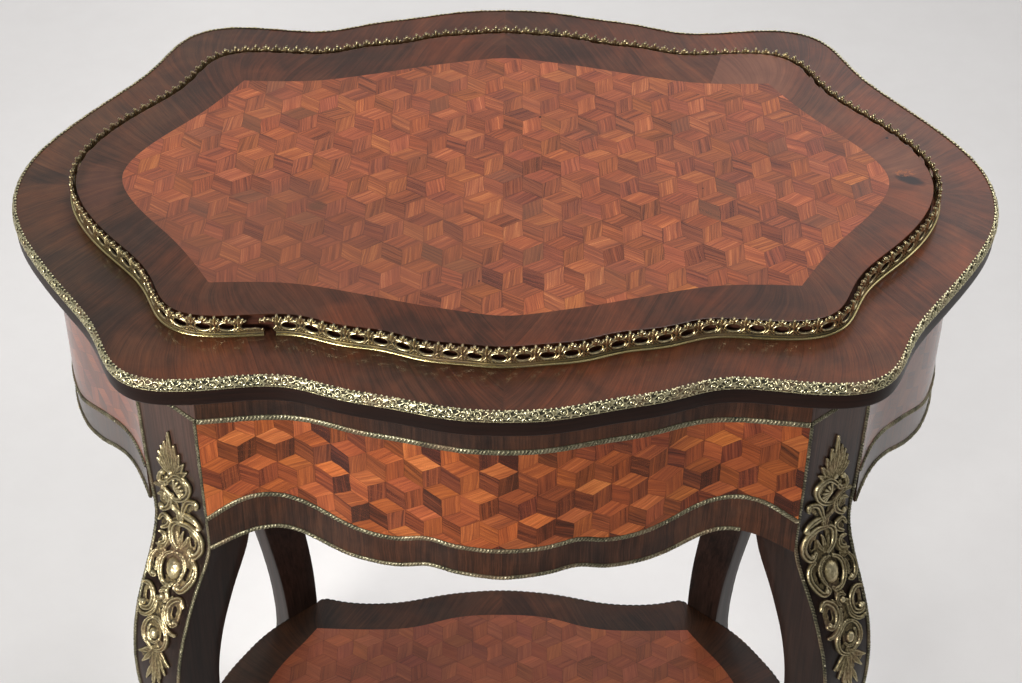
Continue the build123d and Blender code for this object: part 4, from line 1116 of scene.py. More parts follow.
def pier_strokes(r, x):
    """Spreading fleuron that stands between two openings."""
    r.stroke([(x, 0.6), (x, 4.0), (x, 8.5)], [2.6, 1.75, 2.0], 0.40, "plate")
    r.stroke([(x, 8.6), (x, 10.6)], [3.0, 2.8], 0.45, "plate")
    r.stroke([(x, 1.2), (x, 6.4)], [0.95, 0.65], 1.0, "round")
    r.stroke([(x, 7.0)], [1.15], 1.45, "round")
    r.stroke([(x, 8.0), (x, 11.4), (x, 13.6)], [0.8, 1.25, 0.8], 1.55, "round")
    r.stroke([(x, 14.5)], [1.15], 1.7, "round")
    for sg in (-1, 1):
        r.stroke([(x + sg * 0.5, 7.8), (x + sg * 1.9, 9.6), (x + sg * 2.7, 11.6)], [0.6, 0.95, 0.7], 1.35, "round")
        r.stroke([(x + sg * 2.9, 12.0)], [0.85], 1.5, "round")
        r.stroke([(x + sg * 0.7, 4.9), (x + sg * 1.9, 3.4), (x + sg * 2.9, 2.2)], [0.6, 0.85, 0.6], 1.0, "round")
        r.stroke([(x + sg * 1.8, 8.2), (x + sg * 3.4, 9.8), (x + sg * 5.0, 10.4)], [0.5, 0.8, 0.75], 1.1, "round")


def gallery_period(P, step=0.42):
    """One period from pier centre to pier centre; y from the base moulding up."""
    n = int(round(P / step))
    r = Relief(0.0, P, 0.0, GY, P / n, period=P)
    r.ys = np.linspace(0.0, GY, int(GY / 0.42) + 1)
    r.X, r.Y = np.meshgrid(r.xs, r.ys, indexing="ij")
    r.d = np.full(r.X.shape, 1e3); r.h = np.zeros(r.X.shape)
    m = P / 2
    # lower rail with a row of small leaves
    r.stroke([(-1, 0.7), (P + 1, 0.7)], [1.0, 1.0], 0.30, "plate")
    for k in range(7):
        x = m + (k - 3) * P / 7.0
        r.stroke([(x, 1.35)], [0.72], 0.8, "round")
    # rim of the opening
    a = np.linspace(0, 2 * np.pi, 41)
    rim = [(m + 6.05 * np.cos(t), 5.9 + 3.9 * np.sign(np.sin(t)) * np.abs(np.sin(t)) ** 0.85) for t in a]
    r.stroke(rim, [0.78] * 2, 1.25, "round")
    pier_strokes(r, 0.0)
    # crest over the opening
    r.stroke([(m - 4.6, 9.9), (m - 2.4, 10.9), (m, 11.4), (m + 2.4, 10.9), (m + 4.6, 9.9)], [0.95] * 2, 0.85, "round")
    r.stroke([(m, 9.8), (m, 12.4)], [1.7, 1.2], 0.5, "plate")
    r.stroke([(m, 10.4), (m, 13.2)], [0.8, 1.25], 1.5, "round")
    r.stroke([(m, 13.9)], [1.35], 1.9, "round")
    for sg in (-1, 1):
        r.stroke([(m + sg * 0.6, 10.8), (m + sg * 1.9, 12.0), (m + sg * 2.6, 13.1)], [0.5, 0.8, 0.6], 1.2, "round")
        r.stroke([(m + sg * 5.6, 10.5)], [0.85], 1.0, "round")
    return r


period = gallery_period(PITCH)
GZ0 = TOP_Z + 3.0


def add_gallery(pile, rel, s0):
    v, f, hv = rel.plate(edge=0.30, back=0.30, back_relief=0.45, hmax=1.6)
    hv = np.clip(hv + 0.10 * (v[:, 1] > 9.0) - 0.10 * (v[:, 1] < 2.2), 0, 1)
    P = on_gallery(s0 + v[:, 0], v[:, 2], GZ0 + v[:, 1])
    pile.add(P, f, None, hv)


seg_sizes = [7, 6, 6, 7, 6, 6, 7, 6, 6, 7, 6, 6, 7, 6, 6, 7]
seg_sizes = seg_sizes[:]
while sum(seg_sizes) < N_OPEN:
    seg_sizes[sum(seg_sizes) % 16] += 1
while sum(seg_sizes) > N_OPEN:
    seg_sizes[sum(seg_sizes) % 16] -= 1
groups = {"front": Pile(), "right": Pile(), "back": Pile(), "left": Pile()}
k0 = 0
for size in seg_sizes:
    s0 = PIER0 + k0 * PITCH
    mid = on_gallery(s0 + size * PITCH / 2, 0.0, 0.0)
    ang = math.degrees(math.atan2(mid[1], mid[0])) % 360
    which = "front" if 215 <= ang < 325 else "left" if 145 <= ang < 215 else "back" if 35 <= ang < 145 else "right"
    add_gallery(groups[which], period.tile(size), s0)
    k0 += size
last_pier = PIER0 + N_OPEN * PITCH - GL
# at the break: half a pier with the torn arm of the crest on one side, bare rail on the other
arm = Relief(-15.0, 0.0, 0.0, GY, 0.42)
pier_strokes(arm, 0.0)
arm.stroke([(-2.5, 9.3), (-5.0, 9.9), (-8.0, 10.7), (-10.6, 10.6), (-12.6, 9.6)], [0.95, 1.1], 1.0, "round")
arm.stroke([(-4.0, 8.6), (-6.5, 9.3), (-9.5, 9.0)], [0.8, 0.7], 0.9, "round")
arm.stroke([(-9.0, 10.8), (-9.2, 12.2)], [1.2, 0.9], 1.2, "round")
arm.stroke([(-6.6, 11.4), (-5.0, 10.6)], [0.8, 0.7], 1.0, "round")
arm.stroke([(-12.6, 8.6), (-12.4, 11.4)], [0.9, 0.8], 1.0, "round")
add_gallery(groups["front"], arm, PIER0)
rail = Relief(0.0, 18.6, 0.0, GY, 0.42)
pier_strokes(rail, 0.0)
rail.stroke([(-1.0, 0.9), (17.6, 0.9)], [1.3, 1.2], 0.35, "plate")
for k in range(8):
    rail.stroke([(1.2 + k * 2.3, 1.7 + 0.25 * (k % 2))], [0.85], 0.8, "round")
rail.stroke([(2.2, 2.2), (5.0, 2.9), (8.0, 2.6), (11.0, 2.9), (14.5, 2.3)], [0.7, 0.6], 0.9, "round")
add_gallery(groups["front"], rail, last_pier)

# base moulding: small upper bead, hollow and a polished foot
base_prof = [(-1.6, TOP_Z), (2.55, TOP_Z), (2.65, TOP_Z + 0.5), (2.45, TOP_Z + 1.0), (1.9, TOP_Z + 1.35), (1.15, TOP_Z + 1.45),
             (0.95, TOP_Z + 1.9), (1.15, TOP_Z + 2.3), (1.05, TOP_Z + 2.7), (0.7, TOP_Z + 3.05), (0.0, TOP_Z + 3.2),
             (-0.9, TOP_Z + 3.2), (-1.4, TOP_Z + 2.8), (-1.6, TOP_Z + 1.8)]
base_h = [0.0, 0.3, 0.60, 0.90, 0.6, 0.05, 0.0, 0.12, 0.20, 0.15, 0.1, 0.3, 0.3, 0.2]
first_s, total = BREAK_S + 4.5, GL - 9.0
bounds_s = [first_s]
for k in range(1, 16):
    bounds_s.append(PIER0 + sum(seg_sizes[:k]) * PITCH)
bounds_s.append(first_s + total)
pile = Pile()
for a, b in zip(bounds_s[:-1], bounds_s[1:]):
    ss = np.linspace(a + 0.06, b - 0.06, max(8, int((b - a) / 1.3)))
    P = np.stack([on_gallery(ss, o_, z_) for o_, z_ in base_prof], 1)
    pile.loft(P, cu=False, cv=True, hh=np.broadcast_to(np.array(base_h)[None, :], P.shape[:2]))
pile.make("gallery_base_moulding", "table", mat_polish, slot="brass_trim", replaces=("gallery_segments",))
for which, g in groups.items():
    g.make("gallery_" + which, "table", mat_gal, slot="gilt_mounts", replaces=("gallery_segments",), sharp=None)

# ---- cast band round the edge of the top: upright scrollwork turning over on to the veneer -------
def bend_profile(k=60):
    """Middle surface of the band as (outward offset from the outline, height) at even arc steps."""
    pts = [(-0.95, -BAND_H - 0.3), (-0.75, -8.0), (-0.62, -6.0), (-0.62, -4.0), (-0.80, -2.4), (-1.25, -1.15), (-1.95, -0.25),
           (-2.85, 0.30), (-3.75, 0.42)]
    c = pspline(pts, 0.1)
    s_ = arclen(c, False)
    t = np.linspace(0, s_[-1], k)
    q = np.stack([np.interp(t, s_, c[:, 0]), np.interp(t, s_, c[:, 1])], 1)
    T = unit(np.gradient(q, axis=0))
    return q, np.stack([T[:, 1], -T[:, 0]], 1), s_[-1]


bp_q, bp_n, BW = bend_profile(30)
band_path, band_s, BL = resample(hand_out(plan(OUTER, 0.0, n=2880)), 0.45)
band_n = unit(smooth_loop(normals2(band_path), 9))
n_rep = int(round(BL / 21.0))
BP = BL / n_rep


def spiral(cx, cy, r0, r1, turns, start, sg, n=26):
    out = []
    for a in np.linspace(0, 1, n):
        rad = r0 + (r1 - r0) * a
        th = start + sg * a * turns * 2 * math.pi
        out.append((cx + rad * math.cos(th), cy + rad * math.sin(th)))
    return out


def band_period(P, W):
    """Running acanthus scroll, one up and one down in each period."""
    r = Relief(0.0, P, 0.0, W, 0.36, period=P)
    c = 5.9
    r.stroke([(x, c + 2.3 * math.sin(2 * math.pi * x / P)) for x in np.linspace(-2, P + 2, 40)], [0.55] * 2, 0.95, "round")
    for k, sg in ((0.25, 1), (0.75, -1)):
        x0 = P * k
        yc = c - sg * 0.9
        r.stroke(spiral(x0, yc, 3.35, 1.0, 1.35, math.pi / 2 * sg, -sg), [0.66, 0.52], 1.15, "round")
        r.stroke([(x0, yc)], [0.95], 1.35, "round")
        for a in (0.22, 0.45, 0.68, 0.90):
            th = math.pi / 2 * sg - sg * a * 2 * math.pi
            ex, ey = x0 + 4.7 * math.cos(th), yc + 4.6 * math.sin(th)
            r.stroke([(x0 + 3.4 * math.cos(th), yc + 3.3 * math.sin(th)), (ex, min(W - 0.7, max(0.9, ey)))], [0.55, 0.75], 0.95, "round")
        bx = x0 + P * 0.25
        for da, ll in ((-0.9, 3.0), (0.0, 4.2), (0.9, 3.0)):
            ex, ey = bx + ll * math.sin(da) * 1.1, c + sg * (1.2 + ll * math.cos(da))
            r.stroke([(bx, c + sg * 0.8), ((bx + ex) / 2 + 0.2, (c + ey) / 2 + sg * 0.5), (ex, min(W - 0.6, max(0.9, ey)))], [0.45, 0.85, 0.5], 1.05, "round")
        r.stroke([(bx + 1.2, c - sg * 3.2), (bx + 2.6, c - sg * 4.4)], [0.8, 0.6], 0.95, "round")
        r.stroke([(bx - 1.6, c - sg * 3.6), (bx - 0.2, c - sg * 4.6)], [0.6, 0.7], 0.9, "round")
    for q in range(5):
        x = P * (q + 0.37 + 0.12 * (q % 2)) / 5
        r.stroke([(x, W - 1.2), (x + 0.5, W - 0.3)], [0.95, 0.9], 0.65, "round")
    return r


bper = band_period(BP, BW)
nb, rows_b = len(band_path), len(bp_q)
yb = np.linspace(0.0, BW, rows_b)
xi = (band_s % BP) / BP * (len(bper.xs) - 1)
i0 = np.floor(xi).astype(int) % (len(bper.xs) - 1)
fx = (xi - np.floor(xi))[:, None]
jy = yb / BW * (len(bper.ys) - 1)
j0 = np.clip(np.floor(jy).astype(int), 0, len(bper.ys) - 2)
fy = (jy - j0)[None, :]
hb = ((bper.h[i0][:, j0] * (1 - fx) + bper.h[i0 + 1][:, j0] * fx) * (1 - fy)
      + (bper.h[i0][:, j0 + 1] * (1 - fx) + bper.h[i0 + 1][:, j0 + 1] * fx) * fy)
lip = np.exp(-((yb - 0.45) / 0.40) ** 2)[None, :] * 0.60
hb = np.maximum(hb, lip * np.ones_like(hb))
rng = np.random.default_rng(77)
nz = rng.standard_normal(hb.shape)
for _ in range(2):
    nz = (nz + np.roll(nz, 1, 0) + np.roll(nz, -1, 0) + np.roll(nz, 1, 1) + np.roll(nz, -1, 1)) / 5
hb = np.clip(hb + 0.07 * nz / nz.std(), 0, None)
hb[:, 0] = np.minimum(hb[:, 0], 0.25)
hb = np.minimum(hb, 1.25)
htone = hollow_tone(hb, 0.43, 1.25, wrap=True, radius=0.9, gain=1.5, level=0.44)
# the lip's inner edge runs in and out with its leaves
wav = (0.45 + 0.55 * np.abs(np.sin(np.pi * band_s / (BP / 5))))[:, None]
share = np.clip((yb - (BW - 2.2)) / 2.2, 0, 1)[None, :]
offc = bp_q[None, :, 0] + bp_n[None, :, 0] * (hb * 0.95) + share * (1 - wav) * 1.5
zc = TOP_Z + bp_q[None, :, 1] + bp_n[None, :, 1] * (hb * 0.95)
front = np.zeros((nb, rows_b, 3))
front[..., :2] = band_path[:, None, :] + band_n[:, None, :] * offc[..., None]
front[..., 2] = zc
inner_off = [(None, TOP_Z + 0.02), (-1.80, TOP_Z + 0.02), (-1.80, TOP_Z - BAND_H - 0.3)]
back = []
for o_, z_ in inner_off:
    off_ = offc[:, -1] if o_ is None else np.full(nb, o_)
    back.append(lift(band_path + band_n * off_[:, None], z_))
P = np.concatenate([front, np.stack(back, 1)], 1)
H = np.concatenate([htone, np.zeros((nb, 3))], 1)
qd = nb // 4
for q in range(4):
    i_, k_ = q * qd, ((q + 1) * qd if q < 3 else nb)
    idx = np.arange(i_, k_ + 1) % nb
    pile = Pile()
    pile.loft(P[idx], cu=False, cv=True, hh=H[idx])
    pile.make("top_edge_band_casting_%d" % (q + 1), "table", mat_band, slot="gilt_mounts", replaces=("top_edge_band",), sharp=None)


# ---------------------------------------------------------------------------
# frieze
# ---------------------------------------------------------------------------
psx, psy = POST_SIDE
pfx, pfy = POST_FRONT
C0 = np.array([(psx + pfx) / 2, (psy + pfy) / 2])
CH = math.hypot(pfx - psx, pfy - psy)
TV = np.array([(pfx - psx) / CH, (pfy - psy) / CH])
NV = np.array([TV[1], -TV[0]])
if NV @ C0 < 0:
    NV = -NV


def between_posts(inset, kind, step=1.6):
    """Face line between the posts: points and arc length from the middle."""
    p = plan(OUTER, inset, n=5760)
    n = len(p)
    if kind == "front":
        q = p[n // 2: n]                                   # 180..360 degrees
        d = (q - np.array(POST_FRONT)) @ TV
        m = np.stack([-q[:, 0], q[:, 1]], 1)
        d2 = (m - np.array(POST_FRONT)) @ TV
        ok = (d > 0) & (d2 > 0)
    else:
        q = p[n // 4: 3 * n // 4]                          # 90..270 degrees
        d = (q - np.array(POST_SIDE)) @ TV
        m = np.stack([q[:, 0], -q[:, 1]], 1)
        d2 = (m - np.array(POST_SIDE)) @ TV
        ok = (d < 0) & (d2 < 0)
    k = np.where(ok)[0]
    q = q[k[0]:k[-1] + 1]
    q, s, L = resample(q, step, closed=False)
    return q, s - L / 2


def lower_z(table, c):
    t = np.array(table, float)
    xs = np.r_[-t[:0:-1, 0], t[:, 0]]
    ys = np.r_[t[:0:-1, 1], t[:, 1]]
    return TOP_Z - spline1(xs, ys, c)


TURN = {"front": (1, 1), "back": (-1, -1), "left": (1, 1), "right": (-1, -1)}


def place(P, which):
    """Front or left piece, turned half round for the back or right one."""
    sx, sy = TURN[which]
    Q = np.array(P, float)
    Q[..., 0] *= sx
    Q[..., 1] *= sy
    return Q


def skin(which, z_hi, z_lo, thick=VENEER, number=1.0, rows=10, face=FRIEZE_IN, grain="field"):
    kind = "front" if which in ("front", "back") else "side"
    q, s = between_posts(face, kind)
    nn = normals2(q, False)
    c = q[:, 0] if kind == "front" else q[:, 1]
    hi = z_hi(c) if callable(z_hi) else np.full(len(c), float(z_hi))
    lo = z_lo(c) if callable(z_lo) else np.full(len(c), float(z_lo))
    hi = np.maximum(hi, lo + 0.2)
    t = np.linspace(0, 1, rows)
    F = np.zeros((len(q), rows, 3))
    F[..., :2] = q[:, None, :]
    F[..., 2] = lo[:, None] * (1 - t)[None, :] + hi[:, None] * t[None, :]
    B = F[:, ::-1].copy()
    B[..., :2] -= nn[:, None, :] * thick
    P = np.concatenate([F, B], 1)
    G = np.zeros_like(P)
    S = np.broadcast_to(s[:, None], P.shape[:2])
    if grain == "field":
        G[..., 0], G[..., 1] = S, P[..., 2] - TOP_Z
    else:
        G[..., 0], G[..., 1] = S, P[..., 2]
    G[..., 2] = number
    pile = Pile()
    pile.loft(place(P, which), cu=False, cv=True, gc=G)
    return pile, q, s, c, nn


for num, which in enumerate(("front", "back", "left", "right")):
    kind = "front" if which in ("front", "back") else "side"
    PT, AT = (FRONT_PANEL, FRONT_APRON) if kind == "front" else (SIDE_PANEL, SIDE_APRON)
    pl, q, s, c, nn = skin(which, TOP_Z - FILLET_Z, lambda c_: lower_z(PT, c_), number=10.0 + num, rows=14)
    pl.make("frieze_panel_" + which, "table", mat_par_front if kind == "front" else mat_par_side, slot="parquetry", replaces=("frieze_parquetry_" + which,))
    pl, *_ = skin(which, lambda c_: lower_z(PT, c_), lambda c_: lower_z(AT, c_), number=20.0 + num, rows=6, grain="cross")
    pl.make("apron_veneer_" + which, "table", mat_strip if kind == "front" else mat_sidestrip, slot="crossbanding", replaces=("apron_crossband_" + which,))
strip = Pile()
for num, which in enumerate(("front", "back", "left", "right")):
    pl, *_ = skin(which, TOP_Z - TOP_T, TOP_Z - FILLET_Z, number=30.0 + num, rows=5, grain="cross")
    strip.add(np.vstack(pl.v), pl.f, np.vstack(pl.g))
strip.make("frieze_top_strips", "table", mat_strip, slot="crossbanding", replaces=("frieze_top_crossband",))


# ---------------------------------------------------------------------------
# chased brass fillets
# ---------------------------------------------------------------------------
def fillet(pile, path, out, width, proud, pitch=3.0, phase=0.0, skew=1.0, nails=None, cols=9, step=0.55):
    """Chased strip along a 3-D path, a row of slanting leaves between two plain lips."""
    path = np.asarray(path, float)
    s0 = arclen(path, False)
    n = max(4, int(s0[-1] / step))
    t = np.linspace(0, s0[-1], n)
    p = np.stack([np.interp(t, s0, path[:, k]) for k in range(3)], 1)
    o = unit(np.stack([np.interp(t, s0, np.asarray(out)[:, k]) for k in range(3)], 1))
    T = unit(np.gradient(p, axis=0))
    o = unit(o - (o * T).sum(1, keepdims=True) * T)
    B = np.cross(T, o)
    v = np.linspace(-1, 1, cols)
    rng = np.random.default_rng(int(1000 * abs(path[0, 0]) + 17 * abs(path[-1, 2]) + 7 * n) % 99991)
    m = max(4, int(t[-1] / 7))
    jit = np.interp(t, np.linspace(0, t[-1], m), rng.uniform(-0.25, 0.25, m))
    wob = np.interp(t, np.linspace(0, t[-1], m), rng.uniform(-0.14, 0.14, m))
    body = 0.34 + 0.36 * np.sqrt(np.clip(1 - (v / 0.86) ** 2, 0, 1))
    body = np.where(np.abs(v) > 0.97, 0.08, np.where(np.abs(v) > 0.70, 0.40, body))
    ph = t[:, None] / pitch + phase + jit[:, None] + skew * 0.62 * v[None, :]
    each = rng.uniform(0.35, 1.25, int(ph.max()) + 3)[np.clip(np.floor(ph + 0.25).astype(int), 0, int(ph.max()) + 2)]
    leaf = np.clip(np.sin(2 * np.pi * ph), -0.6, 1.0) * each
    cut = np.clip((0.84 - np.abs(v)) * 6, 0, 1)[None, :]
    h = proud * (body[None, :] + (0.29 * leaf + 0.05 * rng.standard_normal((n, cols))) * cut)
    hh = 0.38 + 0.46 * leaf * cut + 0.14 * (1 - cut) + 0.19 * rng.standard_normal((n, cols))
    hh = hh + np.interp(t, np.linspace(0, t[-1], m), rng.uniform(-0.20, 0.20, m))[:, None]
    hh = np.clip(hh, 0, 1) * np.where(np.abs(v) > 0.97, 0.45, 1.0)[None, :]
    F = p[:, None, :] + o[:, None, :] * h[..., None] + B[:, None, :] * (v[None, :] * width / 2 + wob[:, None])[..., None]
    lo = p[:, None, :] + B[:, None, :] * (np.array([width / 2, -width / 2])[None, :] + wob[:, None])[..., None] - o[:, None, :] * 0.05
    P = np.concatenate([F, lo], 1)
    H = np.concatenate([hh, hh[:, :1] * 0.3, hh[:, :1] * 0.3], 1)
    pile.loft(P, cu=False, cv=True, hh=H, flip=False)
    gap = nails or 46.0
    for k in range(int(t[-1] / gap)):
        i = int(np.argmin(np.abs(t - (k + 0.5 + rng.uniform(-0.3, 0.3)) * gap)))
        nail(pile, p[i] + o[i] * proud * 0.55, o[i], T[i], 0.95, 0.8)


def nail(pile, centre, o, T, r, h):
    B = np.cross(T, o)
    rings = []
    for a in np.radians([0, 35, 65]):
        ph = np.linspace(0, 2 * np.pi, 8, endpoint=False)
        rr = r * math.cos(a)
        rings.append(centre + o * h * math.sin(a) + (np.cos(ph)[:, None] * T + np.sin(ph)[:, None] * B) * rr)
    P = np.stack([rings[0] - o * 0.6] + rings, 0)
    n, m = P.shape[:2]
    f = grid_faces(n, m, False, True)
    pile.add(P, [f[:, ::-1], np.arange(m)[None, :], (np.arange(m) + (n - 1) * m)[None, ::-1]], None,
             np.repeat([0.2, 0.6, 0.9, 1.0], m))


def frieze_line(which, zfun, face=FRIEZE_IN):
    kind = "front" if which in ("front", "back") else "side"
    q, s = between_posts(face, kind)
    c = q[:, 0] if kind == "front" else q[:, 1]
    z = zfun(c) if callable(zfun) else np.full(len(c), float(zfun))
    nn = normals2(q, False)
    P = np.concatenate([q, z[:, None]], 1)
    O = np.concatenate([nn, np.zeros((len(q), 1))], 1)
    return place(P, which), place(O, which)


top_f, low_f, edge_f = Pile(), Pile(), Pile()
for num, which in enumerate(("front", "back", "left", "right")):
    PT, AT = (FRONT_PANEL, FRONT_APRON) if which in ("front", "back") else (SIDE_PANEL, SIDE_APRON)
    P, O = frieze_line(which, TOP_Z - FILLET_Z)
    fillet(top_f, P, O, 5.5, FILLET_T, 2.9, 0.1 * num)
    P, O = frieze_line(which, lambda c_: lower_z(PT, c_))
    fillet(low_f, P, O, 4.7, FILLET_T, 2.8, 0.2 * num)
    P, O = frieze_line(which, lambda c_: lower_z(AT, c_) + 1.5)
    if which == "front":
        # the lower fillet has come away for a short way right of the middle lobe
        keep = (P[:, 0] < 190.0)
        P, O = P[keep], O[keep]
    fillet(edge_f, P, O, 4.3, FILLET_T, 2.8, 0.3 * num)

# ---------------------------------------------------------------------------
# legs
# ---------------------------------------------------------------------------
LT = np.array(LEG, float)


def leg_at(drop):
    return tuple(spline1(LT[:, 0], LT[:, k], np.asarray(drop, float)) for k in (1, 2, 3))


CORNERS = {"front_left": (1, 1), "front_right": (-1, 1), "back_left": (1, -1), "back_right": (-1, -1)}


def corner(P, which):
    """Front left piece mirrored to another corner; mirrored ones need turned faces."""
    sx, sy = CORNERS[which]
    Q = np.array(P, float)
    Q[..., 0] *= sx
    Q[..., 1] *= sy
    return Q, sx * sy < 0


def flip_faces(faces, flip):
    return [f[:, ::-1] for f in faces] if flip else faces


def leg_point(n_off, t_off, z):
    xy = C0 + np.multiply.outer(np.asarray(n_off, float), NV) + np.multiply.outer(np.asarray(t_off, float), TV)
    return np.concatenate([xy, np.asarray(z, float)[..., None]], -1)


def leg_section(drops, grow=0.0, rad=1.2):
    """Rounded rectangle at each height: (rows, m) of normal and tangent offsets."""
    r, dd, w = leg_at(drops)
    hw = w / 2 + grow
    n1, n0 = r + grow, r - dd - grow
    loop_n, loop_t, fid = [], [], []
    cs = [(1, 1, 0), (0, 1, 90), (0, -1, 180), (1, -1, 270)]
    for nf, ts, a0 in cs:
        for a in np.radians(np.linspace(a0, a0 + 90, 4)):
            # angle measured from +n towards +t
            cn = np.where(nf, n1 - rad, n0 + rad) + rad * math.cos(a) * 1.0
            ct = ts * (hw - rad) + rad * math.sin(a)
            loop_n.append(cn)
            loop_t.append(ct)
    return np.stack(loop_n, 1), np.stack(loop_t, 1)


drops = np.unique(np.concatenate([np.linspace(TOP_T + 0.05, 300, 90), np.linspace(300, TOP_Z - LEG_FOOT, 130)]))
ln, lt = leg_section(drops)
# extra points across the wide faces
def densify(a, k=4):
    m = a.shape[1]
    cols = []
    for j in range(m):
        nxt = a[:, (j + 1) % m]
        cols.append(a[:, j])
        if j % 4 == 3:
            for q_ in range(1, k):
                cols.append(a[:, j] + (nxt - a[:, j]) * q_ / k)
    return np.stack(cols, 1)


ln, lt = densify(ln), densify(lt)
zl = np.broadcast_to((TOP_Z - drops)[:, None], ln.shape)
PL = leg_point(ln, lt, zl)
GLg = np.stack([ln, lt, zl], -1)
for which in CORNERS:
    Q, fl = corner(PL, which)
    pile = Pile()
    G = GLg.copy()
    G[..., 0] += 200.0 * (1 + list(CORNERS).index(which))
    pile.loft(Q, cu=False, cv=True, gc=G, flip=not fl)
    pile.make("cabriole_leg_" + which, "table", mat_leg, slot="rosewood", replaces=("leg_" + which,))

# brass fillets down the edges of the canted faces, and the short pieces across them
leg_f = Pile()
dz = np.linspace(FILLET_Z + 2.3, TOP_Z - SABOT_H - 3.0, 260)
r_, dd_, w_ = leg_at(dz)
dr = np.gradient(r_, dz)
for which in CORNERS:
    for sg in (-1, 1):
        P = leg_point(r_, sg * (w_ / 2 - 1.7), TOP_Z - dz)
        O = np.concatenate([np.broadcast_to(NV, (len(dz), 2)), dr[:, None]], 1)
        Q, fl = corner(P, which)
        OO, _ = corner(O, which)
        fillet(leg_f, Q, unit(OO), 3.5, FILLET_T, 3.0, 0.37 * sg, cols=7, step=0.7)
    tt = np.linspace(-CH / 2 + 0.3, CH / 2 - 0.3, 20)
    r0 = float(leg_at([FILLET_Z])[0][0])
    P = leg_point(np.full(20, r0), tt, np.full(20, TOP_Z - FILLET_Z))
    O = np.concatenate([np.broadcast_to(NV, (20, 2)), np.zeros((20, 1))], 1)
    Q, fl = corner(P, which)
    OO, _ = corner(O, which)
    fillet(top_f, Q, OO, 4.6, FILLET_T, 3.2, 0.0)
top_f.make("top_fillet_chased", "table", mat_fil, slot="brass_trim", replaces=("frieze_top_fillet",), sharp=None)
low_f.make("panel_fillets_chased", "table", mat_fil, slot="brass_trim", replaces=("panel_lower_fillets",), sharp=None)
edge_f.make("apron_fillets_chased", "table", mat_fil, slot="brass_trim", replaces=("apron_edge_fillets",), sharp=None)
leg_f.make("leg_fillets_chased", "table", mat_fil, slot="brass_trim", replaces=("leg_edge_fillets",), sharp=None)

# ---------------------------------------------------------------------------
# gilt mounts on the knees: (kind, half width, points as (across, drop below the top))
# ---------------------------------------------------------------------------
BASES = (
    (6.5, ((-1.0, 131.0), (-1.0, 118.0))), (5.5, ((-3.0, 142.0), (-6.0, 152.0))), (9.5, ((5.0, 149.5), (3.5, 155.0))),
    (4.0, ((-13.5, 148.0), (-13.0, 154.0))), (7.0, ((-15.5, 171.5), (-18.0, 181.0))), (4.6, ((-7.0, 168.0), (-1.0, 192.0))),
    (4.2, ((6.0, 176.0), (17.0, 163.0))), (4.0, ((4.0, 184.0), (17.0, 183.0))), (4.5, ((-15.5, 201.0), (-20.0, 207.0))),
    (15.5, ((2.0, 205.0), (2.5, 213.0))), (11.5, ((2.0, 222.0), (1.0, 238.0))), (5.5, ((-12.0, 214.0), (-19.0, 225.0))),
    (5.0, ((-19.5, 237.0), (-20.0, 246.0))), (7.0, ((12.5, 226.0), (13.5, 242.0))), (4.4, ((-2.0, 250.0), (-2.5, 268.0))),
    (6.5, ((-18.5, 266.0), (-18.0, 273.0))), (6.5, ((13.5, 264.0), (13.5, 272.0))), (4.0, ((-7.0, 272.0), (-3.0, 284.0))),
    (4.0, ((3.0, 272.0), (0.0, 284.0))), (11.0, ((-2.0, 292.0), (-2.4, 301.0))), (6.0, ((0.0, 309.0), (-3.0, 330.0))),
    (3.6, ((1.0, 312.0), (11.0, 320.0))), (3.6, ((-4.0, 314.0), (-15.0, 324.0))),
)
HOLES = (
    ((5.6, 4.6), ((3.6, 202.5), (2.4, 210.5))), ((1.5, 1.3), ((-13.6, 149.8), (-12.8, 153.0))), ((2.6, 2.2), ((-16.8, 170.5), (-17.2, 177.0))),
    ((2.2, 1.6), ((10.4, 168.0), (14.0, 164.0))), ((1.5, 1.5), ((-9.6, 184.0), (-8.6, 188.0))), ((2.2, 2.2), ((12.4, 204.5), (13.6, 208.5))),
    ((2.0, 2.2), ((-8.2, 237.0), (-7.4, 243.0))), ((1.8, 1.6), ((-20.8, 239.0), (-20.4, 243.0))), ((1.6, 1.8), ((14.6, 231.0), (14.2, 238.0))),
    ((2.4, 2.0), ((-18.6, 266.5), (-18.2, 270.5))), ((2.2, 2.2), ((13.0, 265.0), (13.2, 270.0))), ((1.6, 1.6), ((-9.4, 298.0), (-8.8, 303.0))),
    ((1.5, 1.4), ((5.2, 292.0), (5.6, 298.0))),
)
